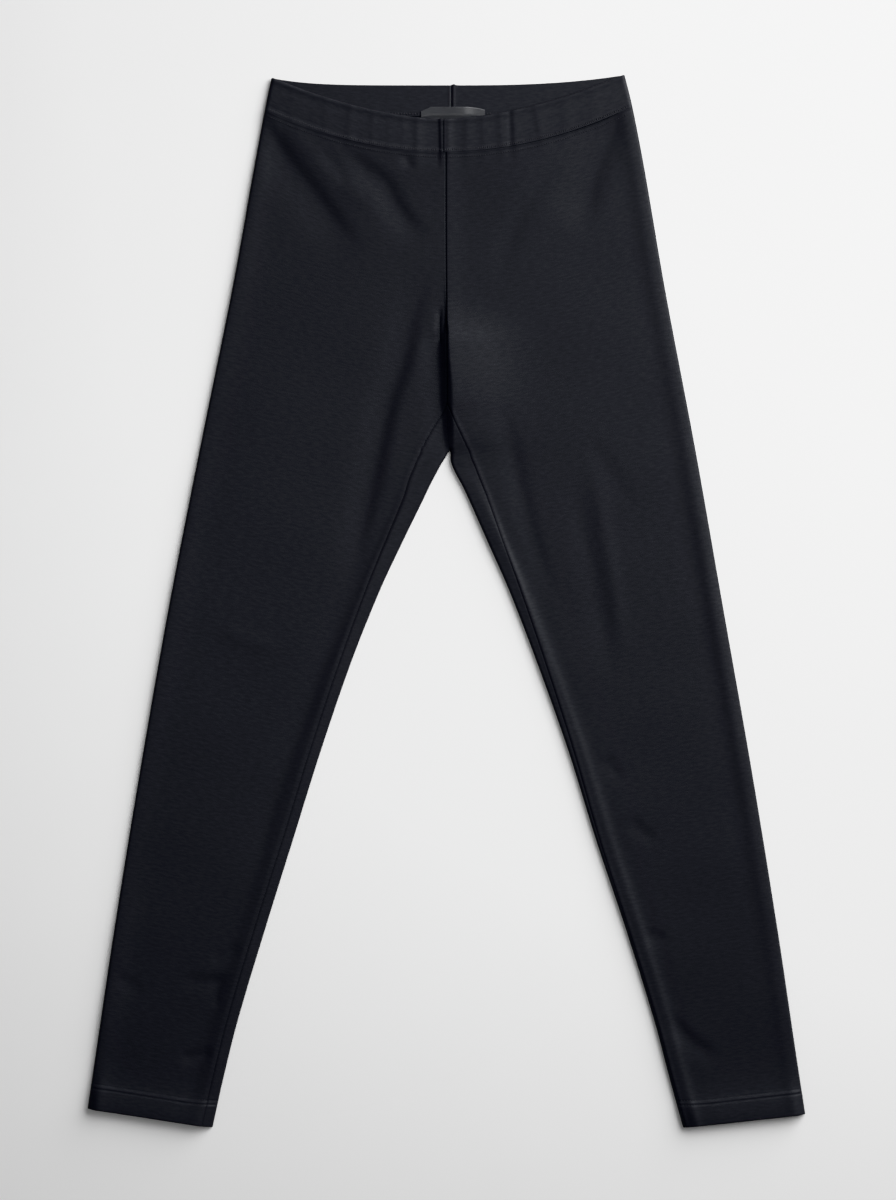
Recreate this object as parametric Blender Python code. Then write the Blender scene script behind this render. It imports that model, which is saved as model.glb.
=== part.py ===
"""Pull-on leggings in double-knit jersey, laid flat on their back with the front up.

Each leg is one panel with no side seam. It runs from the centre-front seam, round the outer fold, to
the centre-back seam. Below the crotch its two long edges meet in the inseam, which has rolled a
little to the front, so a narrow strip of the back shows beside it. The waistband is a folded casing
in two halves, joined at centre front and centre back. A small label lies inside the back of the band.

Metres, +Z up from the table, +Y towards the waist, +X towards the wearer's left. The origin is on the
table in the middle of the footprint. The sizes below are in millimetres.
"""

import math
from collections import namedtuple

import bmesh
import bpy
from mathutils import Vector

MM = 0.001
UP = Vector((0.0, 0.0, 1.0))
SHARP_ANGLE = 40.0  # degrees: edges sharper than this aren't shaded smooth
SIDES = ("right", "left")

# Thicknesses
CLOTH = 1.1  # one layer of double knit
HEM_CLOTH = 2.0  # the hem, turned up: two layers
BAND_CLOTH = 2.2  # the casing, folded over its elastic
LABEL_CLOTH = 1.0
SEAM_GAP = 0.3  # between two edges that are sewn together

# How the layers lie on each other
LAID = 3.4  # table to the outside of the front layer, where it lies smooth
LOWEST = 2.6  # the front layer sinks no lower than this in a crease
BAND_LAID = 6.2  # table to the outside of the front of the band
STEP_AT_BAND = 0.6  # the band stands this proud of the leg beside it
WAIST_FADE = 50.0  # below the band the front layer settles over this length
HEM_RISE = 1.4  # the turned hem lifts the front layer by this
FOLD_REACH = 3.2  # a side fold is round over this distance from its edge
CROTCH_REACH = 5.0  # the fold between the legs is round over this distance

# Waist: heights of the band's edges at centre front, centre back and the side
FRONT_SEAM_Y, BACK_SEAM_Y, SIDE_SEAM_Y = 415.0, 449.0, 457.0
FRONT_TOP_Y, BACK_TOP_Y, SIDE_TOP_Y = 445.5, 478.0, 486.3
BAND_HEIGHT = 30.0
CENTRE_BACK_X = 3.4

# Crotch and hem
INSEAM_TOP_Y = 171.0  # where the four seams meet, on the front
APEX_Y = 137.4  # the fold between the legs
CROTCH_LIFT = 44.0  # a row across the leg rises this much from its inner to its outer end
HEM_Y = -486.3  # the inner corner of each hem
HEM_DEPTH = 18.5
HEM_EASE = 3.0  # the wall doubles over this length at the top of the hem

# Label
LABEL_WIDTH, LABEL_HEIGHT = 59.0, 25.0
LABEL_X, LABEL_TOP_Y = 6.0, 455.0
LABEL_ON_BAND = 6.5  # this much of its height lies on the band, and the rest on the leg
LABEL_SLOPE = 5.5  # it falls from the one to the other over this length

# Each table gives a measure for the right and for the left leg at some heights.
Edge = namedtuple("Edge", "y right left")

HEM_LIFT = Edge(HEM_Y, 17.7, 12.3)

OUTER_EDGE = (
    Edge(486.3, -161.0, 164.5),
    Edge(458.0, -167.0, 171.5),
    Edge(399.0, -178.0, 183.0),
    Edge(288.0, -198.0, 202.0),
    Edge(140.0, -228.0, 230.0),
    Edge(-8.0, -257.0, 256.0),
    Edge(-156.0, -283.0, 282.0),
    Edge(-304.0, -307.0, 306.0),
    Edge(-415.0, -323.5, 322.5),
    Edge(-474.0, -332.3, 331.5),
)

# From centre front at the waist down to the apex, and on down the inner side of each leg.
INNER_EDGE = (
    Edge(486.3, -1.0, -1.0),
    Edge(415.0, -0.5, -0.5),
    Edge(265.0, -2.0, -2.0),
    Edge(171.0, 0.5, 0.5),
    Edge(137.4, 2.8, 2.8),
    Edge(121.0, -7.9, 6.9),
    Edge(93.4, -21.7, 20.8),
    Edge(51.8, -42.0, 39.3),
    Edge(10.0, -61.5, 57.8),
    Edge(-54.6, -87.4, 82.8),
    Edge(-137.8, -116.0, 112.4),
    Edge(-221.0, -142.0, 138.3),
    Edge(-304.0, -167.9, 166.0),
    Edge(-387.6, -192.9, 192.0),
    Edge(-443.0, -206.7, 206.7),
    Edge(-486.3, -216.2, 218.6),
)

# How far the inseam lies in from the inner edge, on the front.
INSEAM_INSET = (
    Edge(171.0, 0.9, 0.9),
    Edge(148.0, 16.5, 13.5),
    Edge(121.0, 18.5, 16.6),
    Edge(93.4, 15.7, 13.9),
    Edge(51.8, 13.9, 12.0),
    Edge(10.0, 12.0, 9.7),
    Edge(-54.6, 10.3, 7.3),
    Edge(-137.8, 9.6, 4.6),
    Edge(-221.0, 9.2, 3.0),
    Edge(-304.0, 9.6, 2.2),
    Edge(-486.3, 9.6, 2.2),
)

# The centre-front seam lies in a groove above the crotch, steep on its left and soft on its right.
Groove = namedtuple("Groove", "top_y bottom_y right_width left_width depth")
CENTRE_GROOVE = Groove(300.0, 60.0, 13.0, 5.0, 2.8)

# The curved seats of the panels leave the front a little full above the crotch.
Fullness = namedtuple("Fullness", "x y half_width half_length height")
CROTCH_FULLNESS = Fullness(12.0, 215.0, 55.0, 100.0, 1.6)

# A crease runs from one point to another, with its middle moved sideways by bow. A negative height
# is a trough and a positive one a ridge.
Crease = namedtuple("Crease", "x0 y0 x1 y1 bow half_width height")

CREASES = (
    Crease(-178.0, 468.0, -70.0, 330.0, -8.0, 10.0, -2.6),
    Crease(-152.0, 448.0, -44.0, 344.0, -6.0, 10.0, 1.4),
    Crease(-84.0, 428.0, -10.0, 330.0, -4.0, 9.0, -1.8),
    Crease(-20.0, 290.0, -82.0, 20.0, -6.0, 9.0, -2.2),
    Crease(-66.0, 90.0, -176.0, -270.0, 8.0, 8.0, -1.2),
    Crease(4.0, 300.0, 46.0, 200.0, -4.0, 14.0, 1.0),
    Crease(166.0, 470.0, 128.0, 352.0, -4.0, 10.0, -1.8),
    Crease(112.0, 416.0, 44.0, 290.0, -6.0, 11.0, -1.0),
    Crease(66.0, 176.0, 114.0, 0.0, 4.0, 9.0, -1.0),
    Crease(132.0, 100.0, 166.0, -84.0, 3.0, 8.0, -1.2),
    Crease(146.0, 118.0, 174.0, -56.0, 3.0, 8.0, 1.0),
    Crease(212.0, -380.0, 254.0, -418.0, 3.0, 9.0, -1.2),
    Crease(-226.0, -340.0, -176.0, -352.0, 2.0, 9.0, -0.8),
)

# The elastic gathers the front of the band into small upright puckers.
Pucker = namedtuple("Pucker", "x half_width height")

PUCKERS = (
    Pucker(-83.0, 5.0, 0.6),
    Pucker(-70.0, 5.0, -0.5),
    Pucker(-56.0, 4.5, -0.4),
    Pucker(-42.0, 5.0, -0.5),
    Pucker(-23.0, 6.0, 0.5),
    Pucker(13.0, 5.0, -0.5),
    Pucker(36.0, 5.0, 0.5),
    Pucker(45.0, 4.5, -0.5),
    Pucker(53.0, 4.5, 0.5),
    Pucker(61.0, 4.5, -0.8),
    Pucker(68.0, 4.5, 0.6),
    Pucker(83.0, 5.0, -0.8),
    Pucker(92.0, 5.0, 0.5),
    Pucker(109.0, 5.0, -0.3),
)

# Each edge rolls over and sinks a little behind the roll: distances in from the edge, and heights.
Roll = namedtuple("Roll", "top_in top_height sink_in sink_height width")
OUTER_ROLL = {
    "right": Roll(8.0, 0.9, 19.0, -0.5, 6.0),
    "left": Roll(7.0, 1.1, 15.0, -0.7, 5.5),
}
INNER_ROLL = {
    "right": Roll(13.0, 1.0, 24.0, -0.3, 6.0),
    "left": Roll(15.0, 1.1, 26.0, -0.3, 6.0),
}
INNER_ROLL_EASE = 45.0  # it grows to its full height over this length below the apex

# How finely each stretch is divided
FRONT_STEPS, BACK_STEPS, STRIP_STEPS, QUARTER_STEPS = 18, 2, 4, 2
HIP_ROWS, LEG_ROWS = 19, 18
ROWS_TO_APEX = (171.0, 158.0, 148.0, 144.4, 139.5, 137.4)
ROWS_BELOW_APEX = (133.0, 127.0, 117.0)
LEG_ROWS_TOP_Y = 104.0
BAND_STEPS = 34
LABEL_STEPS = 4
CROWDING = 0.4  # how much closer together the columns of the front lie near its edges, 0 to 1
HEM_MIDDLE_ROW = 0.6  # the row inside the hem lies this share of the way down it
NARROW_STRIP = 1.5 * FOLD_REACH  # a strip narrower than this is divided as one round fold

# Rows across the band: distance from its folded top edge, and how far the surface has rounded in.
BandRow = namedtuple("BandRow", "from_top rounded")
BAND_ROWS = (
    BandRow(30.0, 0.0),
    BandRow(22.0, 0.0),
    BandRow(13.0, 0.0),
    BandRow(5.0, 0.0),
    BandRow(1.3, 0.0),
    BandRow(0.4, 0.35),
    BandRow(0.0, 0.85),
)

CLOTH_COLOUR = (0.010, 0.011, 0.015, 1.0)
LABEL_COLOUR = (0.045, 0.046, 0.050, 1.0)


def mix(a, b, t):
    return a + (b - a) * t


def along(table, y, side):
    """A smooth curve through one side's column of a table, read at a height."""
    ys = [row.y for row in table]
    values = [getattr(row, side) for row in table]
    i = 0
    while i < len(table) - 2 and y < ys[i + 1]:
        i += 1

    def slope(k):
        low, high = max(k - 1, 0), min(k + 1, len(table) - 1)
        return (values[high] - values[low]) / (ys[high] - ys[low])

    span = ys[i + 1] - ys[i]
    t = min(max((y - ys[i]) / span, 0.0), 1.0)
    eased = t * t * (3.0 - 2.0 * t)
    bend = t * (1.0 - t) * ((1.0 - t) * slope(i) - t * slope(i + 1))
    return mix(values[i], values[i + 1], eased) + span * bend


def inner_x(y, side):
    """The inner edge of a leg. Above the crotch it is the centre-front seam, which the legs share."""
    if y < APEX_Y:
        return along(INNER_EDGE, y, side)
    return mix(along(INNER_EDGE, y, "right"), along(INNER_EDGE, y, "left"), 0.5)


def bump(distance, half_width):
    return math.exp(-((distance / half_width) ** 2))


def arch(t):
    """0 at both ends of 0 to 1, and 1 in the middle."""
    return 4.0 * t * (1.0 - t) if 0.0 < t < 1.0 else 0.0


def crease_height(crease, x, y):
    """The height of one crease at a point: a smooth bump across it that fades towards its ends."""
    dx, dy = crease.x1 - crease.x0, crease.y1 - crease.y0
    length = math.hypot(dx, dy)
    fade = arch(((x - crease.x0) * dx + (y - crease.y0) * dy) / length**2)
    across = ((y - crease.y0) * dx - (x - crease.x0) * dy) / length - crease.bow * fade
    return crease.height * fade * bump(across, crease.half_width)


def roll_height(roll, inward):
    sink = roll.sink_height * bump(inward - roll.sink_in, roll.width)
    return sink + roll.top_height * bump(inward - roll.top_in, roll.width)


def groove_height(from_middle, y):
    """The groove of the centre-front seam, at a distance towards the wearer's left."""
    groove = CENTRE_GROOVE
    fade = arch((groove.top_y - y) / (groove.top_y - groove.bottom_y))
    width = groove.left_width if from_middle > 0.0 else groove.right_width
    return -groove.depth * fade * bump(from_middle, width)


def fullness_height(x, y):
    full = CROTCH_FULLNESS
    return full.height * bump(x - full.x, full.half_width) * bump(y - full.y, full.half_length)


def keep_above(z, lowest):
    """z, eased so that it never goes below the lowest height."""
    ease = 0.5
    return 0.5 * (z + lowest + math.hypot(z - lowest, ease))


def front_seam_y(x, side):
    """Height of the seam between the front of the leg and the band."""
    share = (x - inner_x(FRONT_SEAM_Y, side)) / along(OUTER_EDGE, SIDE_SEAM_Y, side)
    return mix(FRONT_SEAM_Y, SIDE_SEAM_Y, share * share)


def front_height(x, y, side):
    """Height of the outside of the leg's front layer over the table, away from the side folds."""
    from_inner = x - inner_x(y, side)
    z = LAID + roll_height(OUTER_ROLL[side], abs(along(OUTER_EDGE, y, side) - x))
    if y < APEX_Y:
        eased = 1.0 - bump(APEX_Y - y, INNER_ROLL_EASE)
        z += eased * roll_height(INNER_ROLL[side], abs(from_inner))
    else:
        z += groove_height(from_inner, y)
    z += fullness_height(x, y)
    below_band = max(front_seam_y(x, side) - y, 0.0)
    z += (BAND_LAID - STEP_AT_BAND - LAID) * bump(below_band, WAIST_FADE)
    z += sum(crease_height(crease, x, y) for crease in CREASES)
    return keep_above(z, LOWEST)


def fold_angle(from_edge, reach):
    """How far round a fold a point is: 0 on its outermost line, a quarter turn where it is flat."""
    return math.acos(max(1.0 - from_edge / reach, 0.0))


def round_fold(up_to, steps):
    """Distances from a fold's outermost line, at even angles round it, up to a distance."""
    widest = fold_angle(up_to, FOLD_REACH)
    return [FOLD_REACH * (1.0 - math.cos(widest * k / steps)) for k in range(steps + 1)]


def strip_places(width):
    """Distances from the inner edge across the strip between it and the inseam."""
    if width < NARROW_STRIP:
        places = round_fold(width, STRIP_STEPS)
        return [place * width / places[-1] for place in places]
    flat_steps = STRIP_STEPS - QUARTER_STEPS
    flat = [mix(FOLD_REACH, width, k / flat_steps) for k in range(1, flat_steps + 1)]
    return round_fold(FOLD_REACH, QUARTER_STEPS) + flat


def hem_share(above_hem):
    """1 on the turned hem, 0 above it."""
    return min(max((HEM_DEPTH + HEM_EASE - above_hem) / HEM_EASE, 0.0), 1.0)


class Row:
    """One line across a leg. Its inner end is at centre front and centre back, or below the apex at
    the leg's inner edge, and its outer end is at the outer fold."""

    def __init__(self, side, y):
        top_y = FRONT_SEAM_Y - SEAM_GAP
        self.side = side
        self.sign = 1.0 if side == "left" else -1.0
        self.y = y
        self.on_strip = y <= INSEAM_TOP_Y
        self.closed = y < APEX_Y
        if self.closed:
            down = (APEX_Y - y) / (APEX_Y - HEM_Y)
            self.straight = 1.0
            self.back_y = y
            self.outer_y = y + mix(CROTCH_LIFT, getattr(HEM_LIFT, side), down)
            self.front_x = self.back_x = inner_x(y, side)
        else:
            self.straight = (top_y - y) / (top_y - APEX_Y)
            self.back_y = mix(BACK_SEAM_Y - SEAM_GAP, APEX_Y, self.straight)
            self.outer_y = mix(SIDE_SEAM_Y - SEAM_GAP, APEX_Y + CROTCH_LIFT, self.straight)
            self.front_x = inner_x(y, side) + self.sign * SEAM_GAP / 2
            back_x = mix(CENTRE_BACK_X, inner_x(APEX_Y, side), self.straight)
            self.back_x = back_x + self.sign * SEAM_GAP / 2
        self.outer_x = along(OUTER_EDGE, self.outer_y, side)
        self.width = abs(self.outer_x - self.front_x)
        self.back_width = abs(self.outer_x - self.back_x)
        self.inset = along(INSEAM_INSET, y, side) if self.on_strip else 0.0
        self.hem = hem_share(y - HEM_Y)
        self.wall = mix(CLOTH, HEM_CLOTH, self.hem)

    def nearest_fold(self, x, y, inward, from_outer):
        """How far round the nearest fold a point is, and the level way from that fold into the leg."""
        outer = fold_angle(from_outer, FOLD_REACH)
        if self.closed:
            inner, into = fold_angle(inward, FOLD_REACH), Vector((self.sign, 0.0, 0.0))
        else:
            apex_x = inner_x(APEX_Y, self.side) + self.sign * SEAM_GAP / 2
            away = Vector((x - apex_x, y - APEX_Y, 0.0))
            inner, into = fold_angle(away.length, CROTCH_REACH), away.normalized()
            if inward == 0.0:
                into = Vector((0.0, 1.0, 0.0))
        if inner < outer:
            return inner, into
        return outer, Vector((-self.sign, 0.0, 0.0))

    def layer(self, x, y, inward, from_outer, facing):
        """A point of the outside and the one behind it on the inside. The front layer faces up (1)
        and the back layer down (-1), and a fold's outermost line is halfway between them."""
        half = 0.5 * (front_height(x, y, self.side) + HEM_RISE * self.hem)
        angle, into = self.nearest_fold(x, y, inward, from_outer)
        outward = facing * math.sin(angle)
        outside = Vector((x, y, half * (1.0 + outward)))
        return outside, outside + self.wall * (math.cos(angle) * into - outward * UP)

    def front(self, inward):
        """A point of the front layer, a distance from the row's inner end."""
        share = inward / self.width
        x = mix(self.front_x, self.outer_x, share)
        y = mix(self.y, self.outer_y, mix(share * share, share, self.straight))
        return self.layer(x, y, inward, self.width - inward, 1.0)

    def back(self, inward):
        """A point of the back layer, which lies on the table."""
        share = inward / self.back_width
        x = mix(self.back_x, self.outer_x, share)
        y = mix(self.back_y, self.outer_y, mix(share * share, share, self.straight))
        return self.layer(x, y, inward, self.back_width - inward, -1.0)

    def points(self):
        """The row's points, from the front edge of the panel round the leg to its back edge."""
        found = []
        last = self.width - FOLD_REACH
        for k in range(FRONT_STEPS):
            t = k / FRONT_STEPS
            t = mix(t, 0.5 - 0.5 * math.cos(math.pi * t), CROWDING)
            found.append(self.front(mix(self.inset, last, t)))
        quarter = round_fold(FOLD_REACH, QUARTER_STEPS)
        found += [self.front(self.width - from_edge) for from_edge in reversed(quarter)]
        found += [self.back(self.back_width - from_edge) for from_edge in quarter[1:-1]]
        for k in range(BACK_STEPS + 1):
            found.append(self.back(mix(self.back_width - FOLD_REACH, CROTCH_REACH, k / BACK_STEPS)))
        if self.closed:
            found += [self.back(from_edge) for from_edge in reversed(quarter[1:])]
        else:
            found += [self.back(0.0)] + [None] * (QUARTER_STEPS - 1)
        if self.on_strip:
            found += [self.front(inward) for inward in strip_places(self.inset - SEAM_GAP)]
        else:
            found += [None] * (STRIP_STEPS + 1)
        if self.y == APEX_Y:
            # the front and the back of the crotch meet in one point
            for c in range(BACK_END, STRIP_START):
                found[c] = found[STRIP_START]
        return found


BACK_END = FRONT_STEPS + 2 * QUARTER_STEPS + BACK_STEPS + 1
STRIP_START = BACK_END + QUARTER_STEPS


def leg_rows(side):
    """The rows of a leg, from the band down to the hem."""
    top_y = FRONT_SEAM_Y - SEAM_GAP
    hem_top = HEM_Y + HEM_DEPTH
    heights = [mix(top_y, INSEAM_TOP_Y, k / HIP_ROWS) for k in range(HIP_ROWS)]
    heights += ROWS_TO_APEX + ROWS_BELOW_APEX
    heights += [mix(LEG_ROWS_TOP_Y, hem_top + HEM_EASE, k / LEG_ROWS) for k in range(LEG_ROWS)]
    heights += [hem_top + HEM_EASE, hem_top, mix(hem_top, HEM_Y, HEM_MIDDLE_ROW), HEM_Y]
    return [Row(side, y) for y in heights]


def make_leg(side, material, collection):
    make_shell(f"leg_{side}", [row.points() for row in leg_rows(side)], material, collection)


def band_row(side, from_top, rounded):
    """One row of half the band, from centre front round the side to centre back."""
    sign = 1.0 if side == "left" else -1.0
    t = 1.0 - from_top / BAND_HEIGHT
    wall = BAND_CLOTH - 2.0 * rounded
    side_y = mix(SIDE_SEAM_Y, SIDE_TOP_Y, t)
    outer_x = along(OUTER_EDGE, side_y, side) - sign * rounded
    reach = FOLD_REACH - rounded
    half = BAND_LAID / 2

    def layer(middle_x, middle_y, share, z):
        """A point of a layer that lies at height z, where share runs from the middle to the side."""
        x = mix(middle_x, outer_x, share)
        angle = fold_angle(abs(outer_x - x), reach)
        outside = Vector((x, mix(middle_y, side_y, share * share), mix(half, z, math.sin(angle))))
        up = -1.0 if z > half else 1.0
        into = Vector((-sign * math.cos(angle), 0.0, up * math.sin(angle)))
        return outside, outside + wall * into

    def front(share):
        middle_x = inner_x(FRONT_SEAM_Y, side) + sign * SEAM_GAP / 2
        x = mix(middle_x, outer_x, share)
        z = BAND_LAID - rounded + sum(p.height * bump(x - p.x, p.half_width) for p in PUCKERS)
        return layer(middle_x, mix(FRONT_SEAM_Y, FRONT_TOP_Y, t), share, z)

    def back(share):
        middle_x = CENTRE_BACK_X + sign * SEAM_GAP / 2
        return layer(middle_x, mix(BACK_SEAM_Y, BACK_TOP_Y, t), share, rounded)

    half_width = abs(outer_x)
    quarter = [1.0 - reach * (1.0 - math.cos(0.5 * math.pi * k / QUARTER_STEPS)) / half_width
               for k in range(QUARTER_STEPS + 1)]
    flat = quarter[-1]
    points = [front(flat * k / BAND_STEPS) for k in range(BAND_STEPS)]
    points += [front(share) for share in reversed(quarter)]
    points += [back(share) for share in quarter[1:-1]]
    return points + [back(flat * (1.0 - k / BACK_STEPS)) for k in range(BACK_STEPS + 1)]


def make_band(side, material, collection):
    """Half the band: rows from its seam up to its folded top edge."""
    grid = [band_row(side, *row) for row in BAND_ROWS]
    make_shell(f"waistband_{side}", grid, material, collection)


def make_label(material, collection):
    """The label lies on the inside of the band, and falls onto the inside of the legs below it."""
    on_band = BAND_CLOTH + SEAM_GAP + LABEL_CLOTH
    on_leg = CLOTH + SEAM_GAP + LABEL_CLOTH
    left = LABEL_X - LABEL_WIDTH / 2
    falls = LABEL_ON_BAND + LABEL_SLOPE
    across = [left + LABEL_WIDTH * k / LABEL_STEPS for k in range(LABEL_STEPS + 1)]
    grid = []
    for down, z in ((0.0, on_band), (LABEL_ON_BAND, on_band), (falls, on_leg), (LABEL_HEIGHT, on_leg)):
        outside = [Vector((x, LABEL_TOP_Y - down, z)) for x in across]
        grid.append([(point, point - LABEL_CLOTH * UP) for point in outside])
    make_shell("label", grid, material, collection)


def make_shell(name, grid, material, collection):
    """A closed piece of cloth, from rows of pairs: a point of its outside and the point of its inside
    behind it. None stands where a slit leaves no cloth. A pair that is repeated is one point."""
    bm = bmesh.new()
    outside, inside = {}, {}
    for r, pairs in enumerate(grid):
        for c, pair in enumerate(pairs):
            if pair is None:
                continue
            if c and pair is pairs[c - 1]:
                outside[r, c] = outside[r, c - 1]
                continue
            outside[r, c] = bm.verts.new(pair[0] * MM)
            inside[outside[r, c]] = bm.verts.new(pair[1] * MM)
    triangles = []
    for r in range(len(grid) - 1):
        for c in range(len(grid[0]) - 1):
            corners = [outside.get(key) for key in ((r, c), (r, c + 1), (r + 1, c + 1), (r + 1, c))]
            if None not in corners:
                triangles += split_cell(corners)
    for corners in triangles:
        bm.faces.new(corners)
    rims = [tuple(edge.verts) for edge in bm.edges if edge.is_boundary]
    for corners in triangles:
        bm.faces.new([inside[vert] for vert in corners])
    for first, second in rims:
        bm.faces.new((first, second, inside[second], inside[first]))
    bmesh.ops.recalc_face_normals(bm, faces=bm.faces)
    mesh = bpy.data.meshes.new(name)
    bm.to_mesh(mesh)
    bm.free()
    mesh.materials.append(material)
    mesh.shade_smooth()
    mesh.set_sharp_from_angle(angle=math.radians(SHARP_ANGLE))
    collection.objects.link(bpy.data.objects.new(name, mesh))


def split_cell(corners):
    """A cell of the grid as two triangles, along its shorter diagonal, or as one where it narrows."""
    a, b, c, d = corners
    if len({a, b, c, d}) < 4:
        kept = [vert for i, vert in enumerate(corners) if vert is not corners[i - 1]]
        return [kept] if len(kept) == 3 else []
    if (a.co - c.co).length <= (b.co - d.co).length:
        return [(a, b, c), (a, c, d)]
    return [(a, b, d), (b, c, d)]


def make_material(name, colour, roughness):
    material = bpy.data.materials.new(name)
    material.use_nodes = True
    shader = material.node_tree.nodes["Principled BSDF"]
    shader.inputs["Base Color"].default_value = colour
    shader.inputs["Roughness"].default_value = roughness
    shader.inputs["Metallic"].default_value = 0.0
    return material


def main():
    for old in list(bpy.data.objects):
        bpy.data.objects.remove(old, do_unlink=True)
    collection = bpy.data.collections.new("leggings")
    bpy.context.scene.collection.children.link(collection)
    for side in SIDES:
        make_leg(side, make_material(f"knit_leg_{side}", CLOTH_COLOUR, 0.85), collection)
        make_band(side, make_material(f"knit_band_{side}", CLOTH_COLOUR, 0.85), collection)
    make_label(make_material("satin_label", LABEL_COLOUR, 0.4), collection)


main()
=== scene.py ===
"""Pull-on leggings in black double-knit jersey, laid flat on their back with the front up.

Each leg is one panel with no side seam: it runs from centre front round the outer fold to centre back,
and its long edges meet in the inseam, which has rolled a little to the front. The waistband is a casing
folded over elastic, in two halves, cover-stitched to the legs. A small satin label is sewn inside the
back. The hems are turned up and sewn with twin needles.

The tables of measures are in millimetres. Everything that is built is in metres, with +Z up from the
table, +Y towards the waist and +X towards the wearer's left.
"""

import math
from collections import namedtuple

import bmesh
import bpy
import numpy as np
from bpy.props import FloatProperty, FloatVectorProperty, PointerProperty
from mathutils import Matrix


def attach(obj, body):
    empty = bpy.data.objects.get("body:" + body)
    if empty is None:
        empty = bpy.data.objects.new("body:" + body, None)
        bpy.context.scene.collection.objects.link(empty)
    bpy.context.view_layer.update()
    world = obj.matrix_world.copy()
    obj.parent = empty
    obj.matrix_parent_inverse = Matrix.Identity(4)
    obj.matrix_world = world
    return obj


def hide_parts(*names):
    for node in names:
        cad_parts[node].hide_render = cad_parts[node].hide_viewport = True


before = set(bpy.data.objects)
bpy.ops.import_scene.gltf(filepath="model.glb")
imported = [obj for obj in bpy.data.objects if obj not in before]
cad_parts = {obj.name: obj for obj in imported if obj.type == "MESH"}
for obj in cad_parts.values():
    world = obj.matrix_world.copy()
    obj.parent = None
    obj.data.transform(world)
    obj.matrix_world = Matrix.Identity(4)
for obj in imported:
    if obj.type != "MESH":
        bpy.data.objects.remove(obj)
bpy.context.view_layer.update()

bl_info = {
    "name": "Leggings laid flat",
    "version": (1, 0, 0),
    "blender": (4, 5, 0),
    "location": "3D View > Sidebar > Leggings",
    "description": "Builds pull-on leggings in double-knit jersey, laid flat",
    "category": "Object",
}

MM = 0.001
SIDES = ("right", "left")


def linear(hex_colour):
    """An sRGB hex colour as linear red, green and blue."""
    channels = [int(hex_colour[i:i + 2], 16) / 255.0 for i in (1, 3, 5)]
    return tuple(c / 12.92 if c <= 0.04045 else ((c + 0.055) / 1.055) ** 2.4 for c in channels)


# ---------------------------------------------------------------------------------------------------
# Sizes and colours that can be changed


class KnitSettings(bpy.types.PropertyGroup):
    """The double-knit jersey."""

    layer: FloatProperty(
        name="One layer", description="Thickness of one layer of the jersey",
        default=1.1 * MM, min=0.6 * MM, max=2.0 * MM, unit="LENGTH")
    hem_layer: FloatProperty(
        name="Turned hem", description="Thickness of the hem, which is two layers",
        default=2.0 * MM, min=1.0 * MM, max=2.2 * MM, unit="LENGTH")
    band_layer: FloatProperty(
        name="Waistband", description="Thickness of the casing, folded over its elastic",
        default=2.2 * MM, min=1.2 * MM, max=2.6 * MM, unit="LENGTH")
    dark_yarn: FloatVectorProperty(
        name="Dark yarn", description="Colour of the darker fibres in the knit",
        default=linear("#252528"), min=0.0, max=1.0, subtype="COLOR")
    light_yarn: FloatVectorProperty(
        name="Light yarn", description="Colour of the lighter fibres in the knit",
        default=linear("#2b2b2e"), min=0.0, max=1.0, subtype="COLOR")
    streak_length: FloatProperty(
        name="Streak length", description="Length of a streak of lighter fibres along a row of stitches",
        default=6.8 * MM, min=1.0 * MM, max=12.0 * MM, unit="LENGTH")
    streak_height: FloatProperty(
        name="Streak height", description="Height of a streak of lighter fibres",
        default=2.1 * MM, min=0.3 * MM, max=4.0 * MM, unit="LENGTH")


class LaySettings(bpy.types.PropertyGroup):
    """How the leggings lie on the table."""

    laid_height: FloatProperty(
        name="Laid height", description="Table to the outside of the front layer where it lies smooth",
        default=4.8 * MM, min=3.0 * MM, max=6.0 * MM, unit="LENGTH")
    band_height: FloatProperty(
        name="Laid height at the band", description="Table to the outside of the front of the waistband",
        default=6.2 * MM, min=5.0 * MM, max=9.0 * MM, unit="LENGTH")
    crease_depth: FloatProperty(
        name="Crease depth", description="How deep the creases are, as a share of those drawn",
        default=1.0, min=0.0, max=1.5, subtype="FACTOR")
    pucker_depth: FloatProperty(
        name="Pucker depth", description="How deep the puckers of the waistband are",
        default=1.0, min=0.0, max=1.5, subtype="FACTOR")


class SewingSettings(bpy.types.PropertyGroup):
    """The polyester sewing thread and the stitches."""

    thread: FloatProperty(
        name="Thread", description="Width of a stitch of sewing thread",
        default=0.5 * MM, min=0.2 * MM, max=1.0 * MM, unit="LENGTH")
    cover_pitch: FloatProperty(
        name="Cover stitch", description="Distance between the stitches along the waistband",
        default=1.8 * MM, min=1.0 * MM, max=4.0 * MM, unit="LENGTH")
    hem_pitch: FloatProperty(
        name="Hem stitch", description="Length of a stitch of the twin needles along the hem",
        default=2.6 * MM, min=1.5 * MM, max=5.0 * MM, unit="LENGTH")
    thread_colour: FloatVectorProperty(
        name="Thread colour", description="Colour of the sewing thread",
        default=linear("#313135"), min=0.0, max=1.0, subtype="COLOR")
    label_colour: FloatVectorProperty(
        name="Label colour", description="Colour of the satin label",
        default=linear("#3b3c3f"), min=0.0, max=1.0, subtype="COLOR")


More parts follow.
